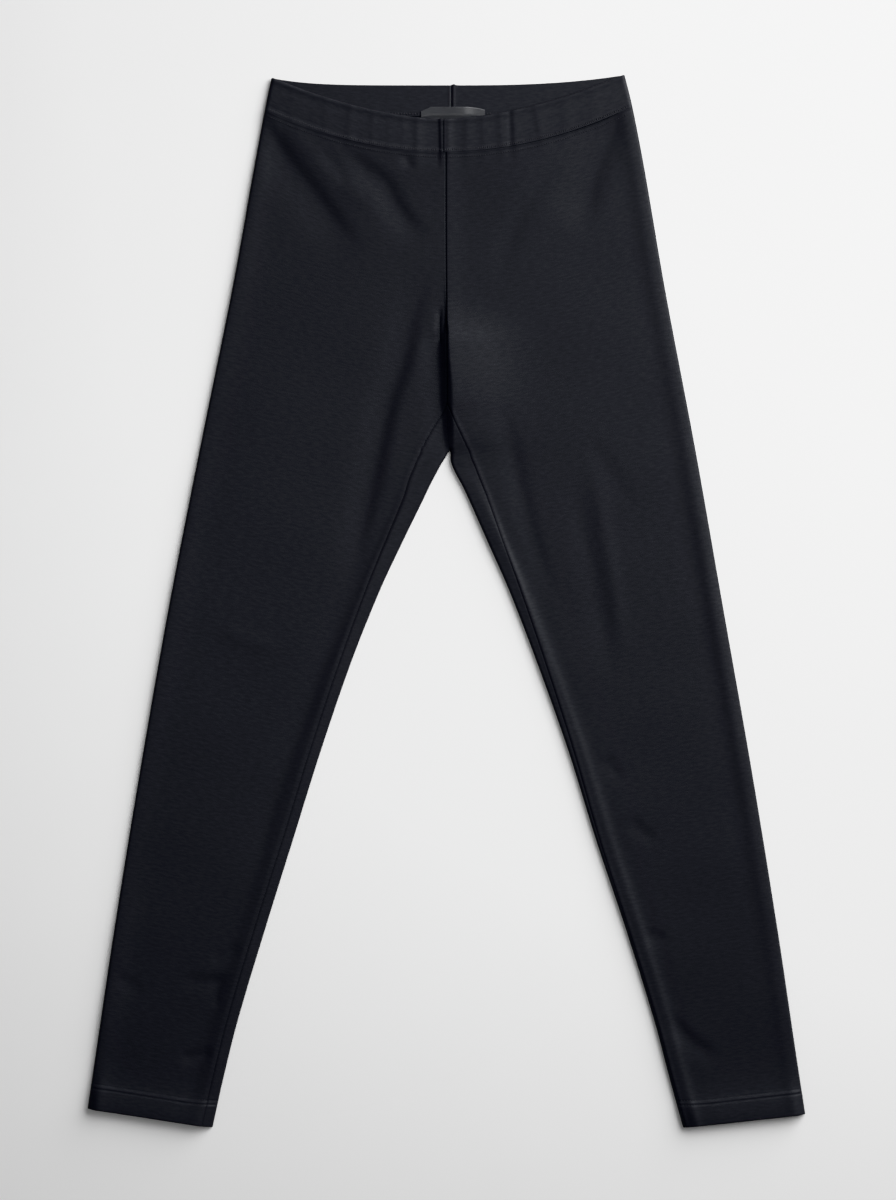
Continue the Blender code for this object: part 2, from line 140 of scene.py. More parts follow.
class StageSettings(bpy.types.PropertyGroup):
    """The floor, the light and the camera."""

    floor_colour: FloatVectorProperty(
        name="Floor colour", description="Colour of the painted table under the leggings",
        default=linear("#e6e6e6"), min=0.0, max=1.0, subtype="COLOR")
    light_power: FloatProperty(
        name="Light power", description="Power of the large soft light, in watts",
        default=139.0, min=0.0, subtype="POWER", unit="POWER")
    light_size: FloatProperty(
        name="Light size", description="Side of the square soft light",
        default=2.62, min=0.1, unit="LENGTH")
    light_distance: FloatProperty(
        name="Light distance", description="From the middle of the leggings to the soft light",
        default=2.5, min=0.5, unit="LENGTH")
    light_height: FloatProperty(
        name="Light height", description="Angle of the soft light above the table",
        default=math.radians(33.0), min=0.0, max=math.radians(90.0), unit="ROTATION")
    light_turn: FloatProperty(
        name="Light turn", description="Direction of the soft light, from +X towards +Y",
        default=math.radians(41.0), unit="ROTATION")
    overhead_power: FloatProperty(
        name="Overhead power", description="Power of the soft spotlight overhead, in watts",
        default=37.0, min=0.0, subtype="POWER", unit="POWER")
    overhead_size: FloatProperty(
        name="Overhead size", description="Radius of the soft spotlight overhead",
        default=0.5, min=0.1, unit="LENGTH")
    overhead_cone: FloatProperty(
        name="Overhead cone", description="Angle over which the spotlight overhead fades out",
        default=math.radians(50.0), min=0.1, max=math.radians(120.0), unit="ROTATION")
    overhead_height: FloatProperty(
        name="Overhead height", description="Height of the spotlight over the table",
        default=2.0, min=0.5, unit="LENGTH")
    room_light: FloatProperty(
        name="Room light", description="Strength of the light that comes from all round",
        default=0.14, min=0.0)
    camera_height: FloatProperty(
        name="Camera height", description="Height of the camera over the table",
        default=3.083, min=0.5, unit="LENGTH")


# ---------------------------------------------------------------------------------------------------
# The cut, and how it lies: millimetres

SEAM_GAP = 0.16  # between two edges that are sewn together
LOWEST = 2.3  # the front layer sinks no lower than this in a crease
LOWEST_EASE = 0.5  # and comes down to it this softly
STEP_AT_BAND = 0.15  # the band stands this proud of the leg beside it
WAIST_FADE = 50.0  # below the band the front layer settles over this length
PUCKER_FADE = 11.0  # and the puckers of the band die out over this one
HEM_RISE = 0.9  # the turned hem lifts the front layer by this
HEM_ARCH, HEM_ARCH_REACH = 4.0, 24.0  # the front of the open hem stands up by this, over this length
HEM_ARCH_INNER, HEM_ARCH_OUTER = 12.0, 6.0  # but not this close to its inner and outer ends
FOLD_REACH = 2.3  # a side fold is round over this distance from its edge
BAND_FOLD_REACH = 3.2  # and so are the ends of the band
FAR = 50.0  # from any seam
CROTCH_REACH = 5.0  # the fold between the legs is round over this distance
CROTCH_EASE = 14.0  # below the apex the one fold becomes the other over this length
EDGE_ROUNDING = 0.85  # how far a folded edge of the hem or the band is rounded

FRONT_SEAM_Y, BACK_SEAM_Y = 414.5, 448.0
SIDE_SEAM_Y = {"right": 453.5, "left": 456.5}
FRONT_TOP_Y, BACK_TOP_Y = 445.3, 476.7
SIDE_TOP_Y = {"right": 483.2, "left": 486.0}
FRONT_EDGE_POWER = 1.7  # the top edge runs from the middle up to the side as this power of the way
BACK_EDGE_POWER = {"right": 5.0, "left": 2.7}
SEAM_POWER = 2.0  # and so does the seam below the band
BAND_GAP = 0.05  # between the band and the leg
BAND_HEIGHT = 30.0
CENTRE_FRONT_X, CENTRE_BACK_X = -2.8, 4.4  # where the halves of the band meet

INSEAM_TOP_Y = 181.0  # where the four seams meet, on the front
INSEAM_BLEND = 40.0  # the relief of one seam becomes that of the next over this length
APEX_Y = 139.2  # the fold between the legs
CROTCH_LIFT = 44.0  # a row across the leg rises this much from its inner to its outer end
HEM_Y = -486.3  # the inner corner of each hem
HEM_DEPTH = 18.5
HEM_EASE = 6.0  # the wall thickens over this length at the top of the hem
HEM_LINE_RISE, HEM_LINE_BEND = 2.0, 16.0  # its stitch line rises by this near the inner edge, over this
TWIN_NEEDLES = 4.3  # between the two rows of hem stitches
HEM_STITCH_LENGTH = 0.8  # of its pitch
HEM_STITCH_SINK = 0.4  # the front rows lie this deep in the cloth
HEM_BACK_SINK, HEM_BACK_THREAD = 0.26, 0.4  # and the back rows this deep; they show this much thread

# The cover stitch: how far each row lies from the band's seam, and the length and slant of its stitches
COVER_ON_BAND, COVER_LENGTH, COVER_SLANT = 1.9, 2.7, 0.28
COVER_INSIDE, INSIDE_LENGTH, INSIDE_SLANT = 2.0, 3.0, 0.22
COVER_ON_LEG, ON_LEG_LENGTH = 4.4, 1.5
INSIDE_PITCH, ON_LEG_PITCH = 1.45, 1.25  # against the pitch on the band
ROW_THREAD = 0.8  # a plain row shows this much of the thread's width
STITCH_TAPER = 0.45  # a stitch is this much thinner at its ends
STITCH_RISE, STITCH_DIP = 0.55, 1.9  # its middle stands out by the first, and its ends dip in

LABEL_WIDTH, LABEL_HEIGHT = 59.0, 25.0
LABEL_X, LABEL_TOP_Y = 6.0, 456.6
LABEL_CLOTH = 0.6
LABEL_OVER_BAND, LABEL_OVER_LEG = 0.45, 0.25  # how clear it lies of the cloth below it
LABEL_ON_BAND, LABEL_STEP = 6.5, 5.5  # it lies on the band this far down, and then comes down to the leg
LABEL_CROWN = 0.25  # its middle stands up by this
LABEL_CURL_X, LABEL_CURL = 15.0, 1.4  # it bulges here by this
LABEL_CURL_LEFT, LABEL_CURL_RIGHT = 18.0, 8.0  # half widths of the bulge
LABEL_CORNER, LABEL_CORNER_REACH = 3.2, 9.0  # its upper corners droop by this
LABEL_LEFT_CORNER, LABEL_LEFT_START = 1.2, 0.7  # the left one by this much of it, from here to the end
LABEL_RIGHT_CORNER, LABEL_RIGHT_POWER = 0.9, 4  # the right one by this much of it, as this power of the way
LABEL_ROUNDING = 0.25  # its upper edge is rounded over this length

# Each table gives a measure for the right and for the left leg at some heights.
Edge = namedtuple("Edge", "y right left")

HEM_LIFT = {"right": 17.7, "left": 12.3}

OUTER_EDGE = (
    Edge(486.3, -161.0, 164.5),
    Edge(458.0, -167.0, 171.5),
    Edge(399.0, -178.0, 183.0),
    Edge(288.0, -198.0, 202.0),
    Edge(140.0, -228.0, 230.0),
    Edge(-8.0, -257.0, 256.0),
    Edge(-156.0, -283.0, 282.0),
    Edge(-304.0, -307.0, 306.0),
    Edge(-415.0, -323.5, 322.5),
    Edge(-474.0, -332.3, 331.5),
)

# From centre front at the waist down to the apex, and on down the inner side of each leg.
INNER_EDGE = (
    Edge(486.3, -1.0, -1.0),
    Edge(415.0, -0.6, -0.6),
    Edge(330.0, -0.5, -0.5),
    Edge(265.0, 0.0, 0.0),
    Edge(204.0, 0.4, 0.4),
    Edge(171.0, 0.6, 0.6),
    Edge(150.0, 1.8, 1.8),
    Edge(139.2, 3.0, 3.0),
    Edge(136.6, 1.0, 3.7),
    Edge(133.4, -0.6, 3.8),
    Edge(130.4, -2.4, 3.9),
    Edge(126.7, -4.8, 4.6),
    Edge(121.2, -7.8, 6.9),
    Edge(115.6, -10.8, 9.7),
    Edge(106.4, -15.5, 14.7),
    Edge(93.4, -21.7, 20.8),
    Edge(51.8, -42.0, 39.3),
    Edge(10.0, -61.5, 57.8),
    Edge(-54.6, -87.4, 82.8),
    Edge(-137.8, -116.0, 112.4),
    Edge(-221.0, -142.0, 138.3),
    Edge(-304.0, -167.9, 166.0),
    Edge(-387.6, -192.9, 192.0),
    Edge(-443.0, -206.7, 206.7),
    Edge(-486.3, -216.2, 218.6),
)

# How far the inseam lies in from the inner edge, on the front.
INSEAM_INSET = (
    Edge(181.0, 0.6, 0.6),
    Edge(171.0, 5.2, 4.4),
    Edge(160.0, 12.0, 8.5),
    Edge(150.0, 17.8, 12.2),
    Edge(139.2, 23.8, 15.6),
    Edge(130.4, 22.6, 18.3),
    Edge(121.2, 21.5, 19.0),
    Edge(106.4, 19.9, 17.2),
    Edge(93.4, 17.7, 16.4),
    Edge(51.8, 14.8, 13.0),
    Edge(10.0, 12.4, 9.9),
    Edge(-54.6, 10.3, 7.3),
    Edge(-137.8, 9.6, 4.6),
    Edge(-221.0, 9.2, 3.0),
    Edge(-304.0, 9.6, 2.2),
    Edge(-486.3, 9.6, 2.2),
)

# Above the crotch the left panel stands up in a lip over the right one: where its crest runs, how far
# the cloth stands up there and sinks at the lip's foot, and how wide the slope between them is.
Lip = namedtuple("Lip", "y x up down width")
CENTRE_LIP = (
    Lip(330.0, 0.4, 0.0, 0.0, 2.2),
    Lip(296.0, 0.4, 0.2, 0.1, 2.2),
    Lip(276.0, 0.4, 0.8, 0.3, 2.2),
    Lip(262.0, 0.3, 2.2, 0.3, 1.8),
    Lip(250.0, 2.0, 4.2, 0.8, 5.0),
    Lip(241.0, 2.2, 5.8, 1.7, 9.0),
    Lip(223.0, 3.1, 6.5, 1.7, 10.2),
    Lip(204.0, 4.9, 6.7, 1.7, 11.2),
    Lip(186.0, 5.6, 6.5, 1.7, 11.4),
    Lip(172.0, 6.0, 5.5, 1.6, 10.4),
    Lip(158.0, 6.8, 4.4, 1.4, 10.0),
    Lip(147.0, 6.8, 3.0, 1.0, 8.4),
    Lip(136.0, 6.0, 1.0, 0.4, 5.6),
    Lip(124.0, 6.0, 0.0, 0.0, 5.6),
)
LIP_FALL = 46.0  # behind its crest the lip falls off over this length
LIP_FOOT = 13.0  # and beyond its foot the cloth rises again over this one
LIP_BEND, LIP_SWELL = 1.3, 0.1  # the slope starts gently, as this power, and sags by this share

# The curved seats of the panels leave the front a little full above the crotch.
Fullness = namedtuple("Fullness", "x y half_width half_length height")
CROTCH_FULLNESS = Fullness(4.0, 250.0, 34.0, 80.0, 0.35)

# A crease follows its points. A negative height is a trough and a positive one a ridge. Its half
# widths are those of the side to the left and to the right of the way along its points.
Crease = namedtuple("Crease", "points height left_width right_width")
CREASE_FADE = 3.2  # it has its full height after one part in this of its length
CREASE_REACH = 3.0  # it ends this many half widths from its path

CREASES = (
    # right hip, from the side down towards the centre
    Crease(((-187.0, 467.0), (-165.5, 435.0), (-143.5, 402.5), (-126.5, 381.5), (-108.0, 356.5),
            (-91.5, 334.0), (-74.0, 318.0)), -2.1, 8.0, 22.0),
    Crease(((-166.0, 456.0), (-113.0, 402.0), (-53.0, 348.0)), 0.5, 10.0, 9.0),
    Crease(((-118.0, 420.0), (-103.0, 401.0), (-89.0, 380.0)), -0.7, 6.0, 8.0),
    Crease(((-103.0, 424.0), (-81.0, 404.0), (-57.5, 386.0), (-46.0, 365.0), (-31.0, 345.0),
            (-12.0, 331.0)), -1.6, 7.0, 14.0),
    Crease(((-40.0, 414.0), (-32.0, 398.0)), -0.8, 4.0, 5.0),
    # right thigh and knee, one long line from beside the crotch
    Crease(((-16.0, 318.0), (-25.0, 286.0), (-33.0, 258.0), (-42.0, 219.0), (-52.0, 190.0), (-59.0, 160.0),
            (-65.0, 132.0), (-70.5, 104.0), (-77.0, 76.0), (-86.0, 34.0), (-95.0, -2.0)), -2.2, 8.0, 16.0),
    Crease(((-90.0, 40.0), (-98.0, -14.0), (-119.5, -72.0), (-143.5, -138.0), (-163.0, -193.0),
            (-177.0, -253.0), (-187.0, -293.0)), -0.6, 7.0, 16.0),
    Crease(((-16.0, 262.0), (-30.0, 216.0), (-43.0, 180.0), (-52.0, 140.0), (-60.0, 100.0)), 0.4, 9.0, 6.0),
    # beside the foot of the lip at centre front
    Crease(((-5.0, 274.0), (-5.8, 262.0), (-6.2, 250.0), (-6.0, 232.0)), -1.8, 1.2, 2.6),
    # right knee and calf
    Crease(((-214.0, -20.0), (-190.0, -34.0), (-150.0, -44.0)), 0.5, 8.0, 8.0),
    Crease(((-308.0, -342.0), (-294.0, -352.0), (-278.0, -362.0)), -0.5, 4.5, 8.0),
    Crease(((-188.0, -318.0), (-202.0, -327.0), (-220.0, -334.0)), -0.6, 4.5, 8.0),
    Crease(((-248.0, -349.0), (-224.0, -351.0), (-198.0, -348.0)), -0.7, 4.5, 8.0),
    Crease(((-207.0, -344.0), (-212.0, -360.0), (-213.0, -378.0)), -0.6, 4.0, 8.0),
    Crease(((-248.0, -421.0), (-230.0, -420.0), (-214.0, -414.0)), -0.9, 4.5, 6.0),
    # fullness left of the crotch
    Crease(((16.0, 262.0), (28.0, 230.0), (54.0, 200.0)), 0.15, 16.0, 18.0),
    # left hip
    Crease(((165.0, 466.0), (149.0, 428.0), (138.0, 400.0), (127.0, 364.0), (116.0, 336.0)),
           -1.7, 11.0, 30.0),
    Crease(((114.0, 416.0), (88.0, 384.0), (66.0, 350.0), (42.0, 292.0)), -0.6, 8.0, 11.0),
    # left thigh
    Crease(((47.0, 196.0), (59.0, 150.0), (70.0, 98.0), (84.0, 44.0), (104.0, -14.0)), -1.0, 7.0, 11.0),
    Crease(((117.0, 122.0), (128.0, 62.0), (140.0, 2.0), (155.0, -84.0)), -0.8, 7.0, 11.0),
    Crease(((131.0, 136.0), (143.0, 76.0), (155.0, 8.0), (166.0, -60.0)), 0.8, 8.0, 6.0),
    Crease(((128.0, 156.0), (148.0, 124.0), (176.0, 80.0)), -0.4, 7.0, 9.0),
    # left calf
    Crease(((146.0, -141.0), (154.0, -155.0), (163.0, -167.0)), -0.7, 5.0, 8.0),
    Crease(((168.0, -198.0), (180.0, -212.0), (196.0, -222.0)), -0.7, 5.0, 8.0),
    Crease(((182.0, -304.0), (192.0, -310.0), (206.0, -312.0)), -0.7, 5.0, 8.0),
    Crease(((204.0, -378.0), (218.0, -398.0), (237.0, -414.0), (254.0, -423.0)), -1.1, 5.5, 10.0),
    # the front of the right hem stands up a little more in its middle
    Crease(((-256.0, -400.0), (-251.0, -440.0), (-247.0, -486.0), (-239.0, -570.0)), 0.5, 26.0, 28.0),
)

# The cloth under the laid garment lifts a little off the table along these.
BACK_CREASES = (
    Crease(((-150.0, 420.0), (-110.0, 340.0), (-60.0, 280.0)), 0.7, 9.0, 9.0),
    Crease(((-60.0, 400.0), (-30.0, 320.0), (-20.0, 250.0)), 0.6, 8.0, 8.0),
    Crease(((146.0, 430.0), (112.0, 350.0), (70.0, 290.0)), 0.7, 9.0, 9.0),
    Crease(((-130.0, 210.0), (-150.0, 60.0), (-190.0, -90.0)), 0.6, 8.0, 8.0),
    Crease(((-226.0, -150.0), (-232.0, -250.0), (-262.0, -330.0)), 0.6, 8.0, 8.0),
    Crease(((90.0, 190.0), (134.0, 60.0), (176.0, -60.0)), 0.7, 8.0, 8.0),
    Crease(((214.0, -120.0), (226.0, -240.0), (262.0, -340.0)), 0.6, 8.0, 8.0),
)

# Long low swells of the cloth: direction and length of a wave, its height and where it starts.
Swell = namedtuple("Swell", "turn length height start")
SWELLS = (
    Swell(18.0, 150.0, 0.16, 0.3),
    Swell(64.0, 97.0, 0.12, 1.9),
    Swell(112.0, 71.0, 0.09, 4.1),
    Swell(152.0, 118.0, 0.12, 2.6),
)

# The elastic gathers the front of the band into small upright puckers. The lean is how much further to
# the right a pucker's top lies than its foot.
Pucker = namedtuple("Pucker", "x lean left_width right_width height")
PUCKERS = (
    Pucker(-142.0, 3.0, 4.0, 6.0, 0.12),
    Pucker(-112.0, 2.0, 3.5, 6.0, 0.15),
    Pucker(-89.0, 1.5, 3.5, 5.0, 0.25),
    Pucker(-68.0, 1.0, 3.0, 4.0, 0.12),
    Pucker(-53.0, 1.0, 2.6, 4.0, 0.08),
    Pucker(-40.0, 0.5, 2.6, 3.6, 0.08),
    Pucker(-27.0, 0.5, 3.0, 5.0, 0.35),
    Pucker(-7.0, -0.8, 26.0, 1.0, -1.1),
    Pucker(2.0, 0.0, 2.0, 4.0, 0.3),
    Pucker(19.0, 0.0, 3.6, 6.0, 0.3),
    Pucker(34.5, -1.0, 3.0, 6.0, 0.2),
    Pucker(50.5, -2.0, 3.4, 3.4, 0.22),
    Pucker(58.6, -1.0, 2.2, 2.6, -0.3),
    Pucker(63.0, -1.5, 2.6, 6.0, 0.3),
    Pucker(84.8, -5.5, 3.0, 7.0, 0.25),
    Pucker(109.0, -2.0, 4.0, 7.0, 0.15),
    Pucker(134.0, -3.0, 4.0, 8.0, 0.15),
)

# Each side of a leg is rolled: the cloth is highest a little way in from the edge, sinks a little behind
# that, and falls off at the rim. The half width of the top is near_width on the side of the edge.
Roll = namedtuple("Roll", "top_in top_height sink_in sink_height width near_width edge_fall")
SINK_SPREAD = 1.3  # the sink is this much wider than the top
OUTER_ROLL = {
    "right": Roll(5.0, 2.0, 26.0, -0.1, 11.0, 9.0, 0.0),
    "left": Roll(9.0, 1.05, 25.0, -0.15, 6.4, 8.0, 0.7),
}
INNER_ROLL = {
    "right": Roll(13.0, 1.25, 29.0, -0.2, 8.0, 11.0, 2.6),
    "left": Roll(12.0, 1.35, 24.0, -0.2, 5.0, 10.0, 0.0),
}
EDGE_FALL_REACH = 5.0  # the rim falls off over this length
OUTER_ROLL_SHARE = (  # how full the outer roll is
    Edge(486.3, 0.5, 0.6),
    Edge(371.0, 0.5, 0.6),
    Edge(278.0, 0.35, 0.65),
    Edge(186.0, 0.25, 0.7),
    Edge(47.0, 0.4, 1.25),
    Edge(-92.0, 0.35, 1.25),
    Edge(-230.0, 0.25, 0.95),
    Edge(-369.0, 0.8, 0.6),
    Edge(-486.3, 0.6, 0.5),
)
INNER_ROLL_EASE = 45.0  # it grows to its full height over this length below the apex

# Relief beside seams and stitch lines: distance from the line, height and half width of each bump.
Relief = namedtuple("Relief", "distance height half_width")
INSEAM_RELIEF = {  # negative distances lie on the side of the inner edge
    "right": (Relief(0.0, -0.28, 0.8), Relief(-2.4, 0.35, 2.4), Relief(3.2, 0.18, 2.0)),
    "left": (Relief(-0.1, -0.22, 0.7), Relief(1.7, 0.36, 1.9)),
}
CENTRE_SEAM_RELIEF = {
    "right": (Relief(0.0, -0.45, 0.5), Relief(1.7, 0.02, 0.8)),
    "left": (Relief(0.0, -0.8, 0.5), Relief(0.0, 0.75, 11.0)),
}
BAND_SEAM_RELIEF = (Relief(-0.3, 0.5, 1.9), Relief(0.0, -0.12, 0.35), Relief(4.0, 0.12, 1.1))
BAND_EDGE_RELIEF = (Relief(0.3, 0.5, 1.9), Relief(0.0, -0.12, 0.35), Relief(5.0, -0.1, 1.2))
BAND_FOLD_RELIEF = (Relief(2.2, 0.25, 1.6), Relief(6.5, -0.2, 3.0))
BAND_CENTRE_RELIEF = {
    "right": (Relief(0.0, -0.1, 0.8),),
    "left": (Relief(0.0, 0.7, 6.5), Relief(0.0, -0.3, 0.5)),
}
HEM_RELIEF = (Relief(1.3, 0.1, 1.1), Relief(0.2, -0.5, 1.0), Relief(4.9, 0.08, 1.2), Relief(4.1, -0.2, 0.8))
# Centre back, on the inside of the band: these are read at x.
CENTRE_BACK_RELIEF = (Relief(4.5, -0.7, 0.6), Relief(6.7, 0.3, 1.1), Relief(2.6, 0.15, 0.9))
BACK_TOP_BUMP = (Relief(6.7, 1.1, 1.8),)
BACK_TOP_START = 0.7  # the bump in the top edge at centre back starts at this share of the way up

# Looks and stage
BAND_PAINTED_LIGHT = 1.08  # painted light: the band is the same jersey as the legs, in a paler copy that stands in for the light it catches
FLOOR_HALF = 6.0  # metres, as are the next three
OVERHEAD_PLACE = (-0.16, -0.08)
CAMERA_PLACE = (0.0014, 0.0009)
FARTHEST = 50.0
LENS, SENSOR = 100.0, 36.0  # millimetres

# How finely the cloth is divided: distances from a seam, from the band's seam and from a fold, and shares
# of the way round the rounding of an edge
SEAM_PLACES = (0.0, 0.3, 0.65, 1.05, 1.5, 2.1, 2.8, 3.7, 4.8, 6.2, 8.0, 10.0)
BAND_SEAM_PLACES = 9  # so many of them beside the seams of the band
ROWS_BELOW_BAND = (0.0, 0.35, 0.8, 1.4, 2.0, 2.7, 3.4, 4.0, 4.6, 5.3, 6.2, 7.5, 9.0)
ROWS_ON_BAND = (0.0, 0.35, 0.75, 1.2, 1.7, 2.2, 2.8, 3.4, 3.9, 4.4, 5.0, 5.8, 7.0)
ROWS_BELOW_FOLD = (4.0, 3.2, 2.5, 1.9, 1.35)
ROUNDING_SHARES = (1.0, 0.62, 0.32, 0.1, 0.0)
FRONT_STEPS, BACK_STEPS, FOLD_STEPS, STRIP_STEPS = 58, 22, 6, 18
BAND_STEPS, BAND_BACK_SKIP = 150, 3  # the hidden back of the band has every third column
CROWDING = 0.25  # how much closer together the columns lie near the edges, 0 to 1


# ---------------------------------------------------------------------------------------------------
# Small shapes


def mix(a, b, t):
    """From a to b by the share t."""
    return a + (b - a) * t


def along(table, y, side):
    """A smooth curve through one side's column of a table, read at heights."""
    ys = np.array([row.y for row in table])
    values = np.array([getattr(row, side) for row in table])
    low = np.maximum(np.arange(len(ys)) - 1, 0)
    high = np.minimum(np.arange(len(ys)) + 1, len(ys) - 1)
    slope = (values[high] - values[low]) / (ys[high] - ys[low])
    y = np.asarray(y, float)
    i = np.clip(np.searchsorted(-ys, -y, side="left") - 1, 0, len(ys) - 2)
    span = ys[i + 1] - ys[i]
    t = np.clip((y - ys[i]) / span, 0.0, 1.0)
    bend = t * (1.0 - t) * ((1.0 - t) * slope[i] - t * slope[i + 1])
    return mix(values[i], values[i + 1], t * t * (3.0 - 2.0 * t)) + span * bend


def inner_x(y, side):
    """The inner edge of a leg. Above the crotch it is the centre-front seam, which the legs share."""
    both = mix(along(INNER_EDGE, y, "right"), along(INNER_EDGE, y, "left"), 0.5)
    return np.where(np.asarray(y) < APEX_Y, along(INNER_EDGE, y, side), both)


def bump(distance, half_width):
    """A smooth bump, 1 high."""
    return np.exp(-((distance / half_width) ** 2))


def relief(parts, distance):
    """The height of several bumps beside a line."""
    return sum(part.height * bump(distance - part.distance, part.half_width) for part in parts)


def roll_height(roll, inward):
    """The height of a rolled side, at distances in from its edge."""
    sink = roll.sink_height * bump(inward - roll.sink_in, SINK_SPREAD * roll.width)
    rim = roll.edge_fall * np.exp(-inward / EDGE_FALL_REACH)
    width = np.where(inward < roll.top_in, roll.near_width, roll.width)
    return sink - rim + roll.top_height * bump(inward - roll.top_in, width)


def eased_path(points, steps=6):
    """A smooth curve through a crease's points."""
    p = np.array((points[0],) + tuple(points) + (points[-1],), float)
    found = []
    for a, b, c, d in zip(p, p[1:], p[2:], p[3:]):
        for t in np.arange(steps) / steps:
            found.append(0.5 * (2 * b + (c - a) * t + (2 * a - 5 * b + 4 * c - d) * t**2
                                + (3 * b - a - 3 * c + d) * t**3))
    return np.array(found + [p[-1]])


def crease_height(crease, x, y):
    """The height of one crease: a smooth bump across its path that fades at both of its ends."""
    path = eased_path(crease.points)
    lengths = np.hypot(*np.diff(path, axis=0).T)
    start = np.concatenate(([0.0], np.cumsum(lengths)))
    reach = CREASE_REACH * max(crease.left_width, crease.right_width)
    near = ((x > path[:, 0].min() - reach) & (x < path[:, 0].max() + reach)
            & (y > path[:, 1].min() - reach) & (y < path[:, 1].max() + reach))
    z = np.zeros_like(x)
    if not near.any():
        return z
    px, py = x[near][:, None], y[near][:, None]
    way = np.diff(path, axis=0) / lengths[:, None]
    from_x, from_y = px - path[:-1, 0], py - path[:-1, 1]
    down = np.clip(from_x * way[:, 0] + from_y * way[:, 1], 0.0, lengths)
    off_x, off_y = from_x - down * way[:, 0], from_y - down * way[:, 1]
    distance = np.hypot(off_x, off_y)
    k = distance.argmin(axis=1)
    i = np.arange(len(k))
    to_left = way[k, 0] * off_y[i, k] - way[k, 1] * off_x[i, k]
    width = np.where(to_left > 0.0, crease.left_width, crease.right_width)
    share = (start[k] + down[i, k]) / start[-1]
    faded = smooth_step(CREASE_FADE * np.minimum(share, 1.0 - share))
    z[near] = crease.height * faded * bump(distance[i, k], width)
    return z


def swell_height(x, y):
    """The height of the long low swells."""
    z = 0.0
    for swell in SWELLS:
        turn = math.radians(swell.turn)
        across = x * math.cos(turn) + y * math.sin(turn)
        z = z + swell.height * np.sin(2.0 * math.pi * across / swell.length + swell.start)
    return z


def lip_height(x, y):
    """The lip beside centre front: a plateau that falls off behind a sharp crest, and a slope below it."""
    crest, up, down, width = (along(CENTRE_LIP, y, name) for name in ("x", "up", "down", "width"))
    beyond = x - crest
    t = np.clip(-beyond / width, 0.0, 1.0) ** LIP_BEND
    slope = up - (up + down) * (t + LIP_SWELL * np.sin(math.pi * t))
    return np.where(beyond > 0.0, up * bump(beyond, LIP_FALL),
                    np.where(t < 1.0, slope, -down * bump(beyond + width, LIP_FOOT)))


def fullness_height(x, y):
    """The height of the fullness above the crotch."""
    full = CROTCH_FULLNESS
    return full.height * bump(x - full.x, full.half_width) * bump(y - full.y, full.half_length)


def keep_above(z, lowest):
    """z, eased so that it never goes below the lowest height."""
    return 0.5 * (z + lowest + np.hypot(z - lowest, LOWEST_EASE))


def pucker_height(x, up):
    """The puckers of the band, at a share of the way up it."""
    z = 0.0
    for p in PUCKERS:
        across = x - p.x - p.lean * (up - 0.5)
        z = z + p.height * bump(across, np.where(across < 0.0, p.left_width, p.right_width))
    return z


def front_seam_y(x, side):
    """Height of the seam between the front of the leg and the band."""
    share = (x - inner_x(FRONT_SEAM_Y, side)) / along(OUTER_EDGE, SIDE_SEAM_Y[side], side)
    return mix(FRONT_SEAM_Y, SIDE_SEAM_Y[side], share * share)


def fold_angle(from_edge, reach):
    """How far round a fold a point is: 0 on its outermost line, a quarter turn where it is flat."""
    return np.arccos(np.clip(1.0 - from_edge / reach, 0.0, 1.0))


def round_fold(reach):
    """Distances from a fold's outermost line, at even angles round it."""
    return reach * (1.0 - np.cos(0.5 * math.pi * np.arange(FOLD_STEPS + 1) / FOLD_STEPS))


def smooth_step(t):
    """From 0 to 1, level at both ends."""
    t = np.clip(t, 0.0, 1.0)
    return t * t * (3.0 - 2.0 * t)


# ---------------------------------------------------------------------------------------------------
# A leg


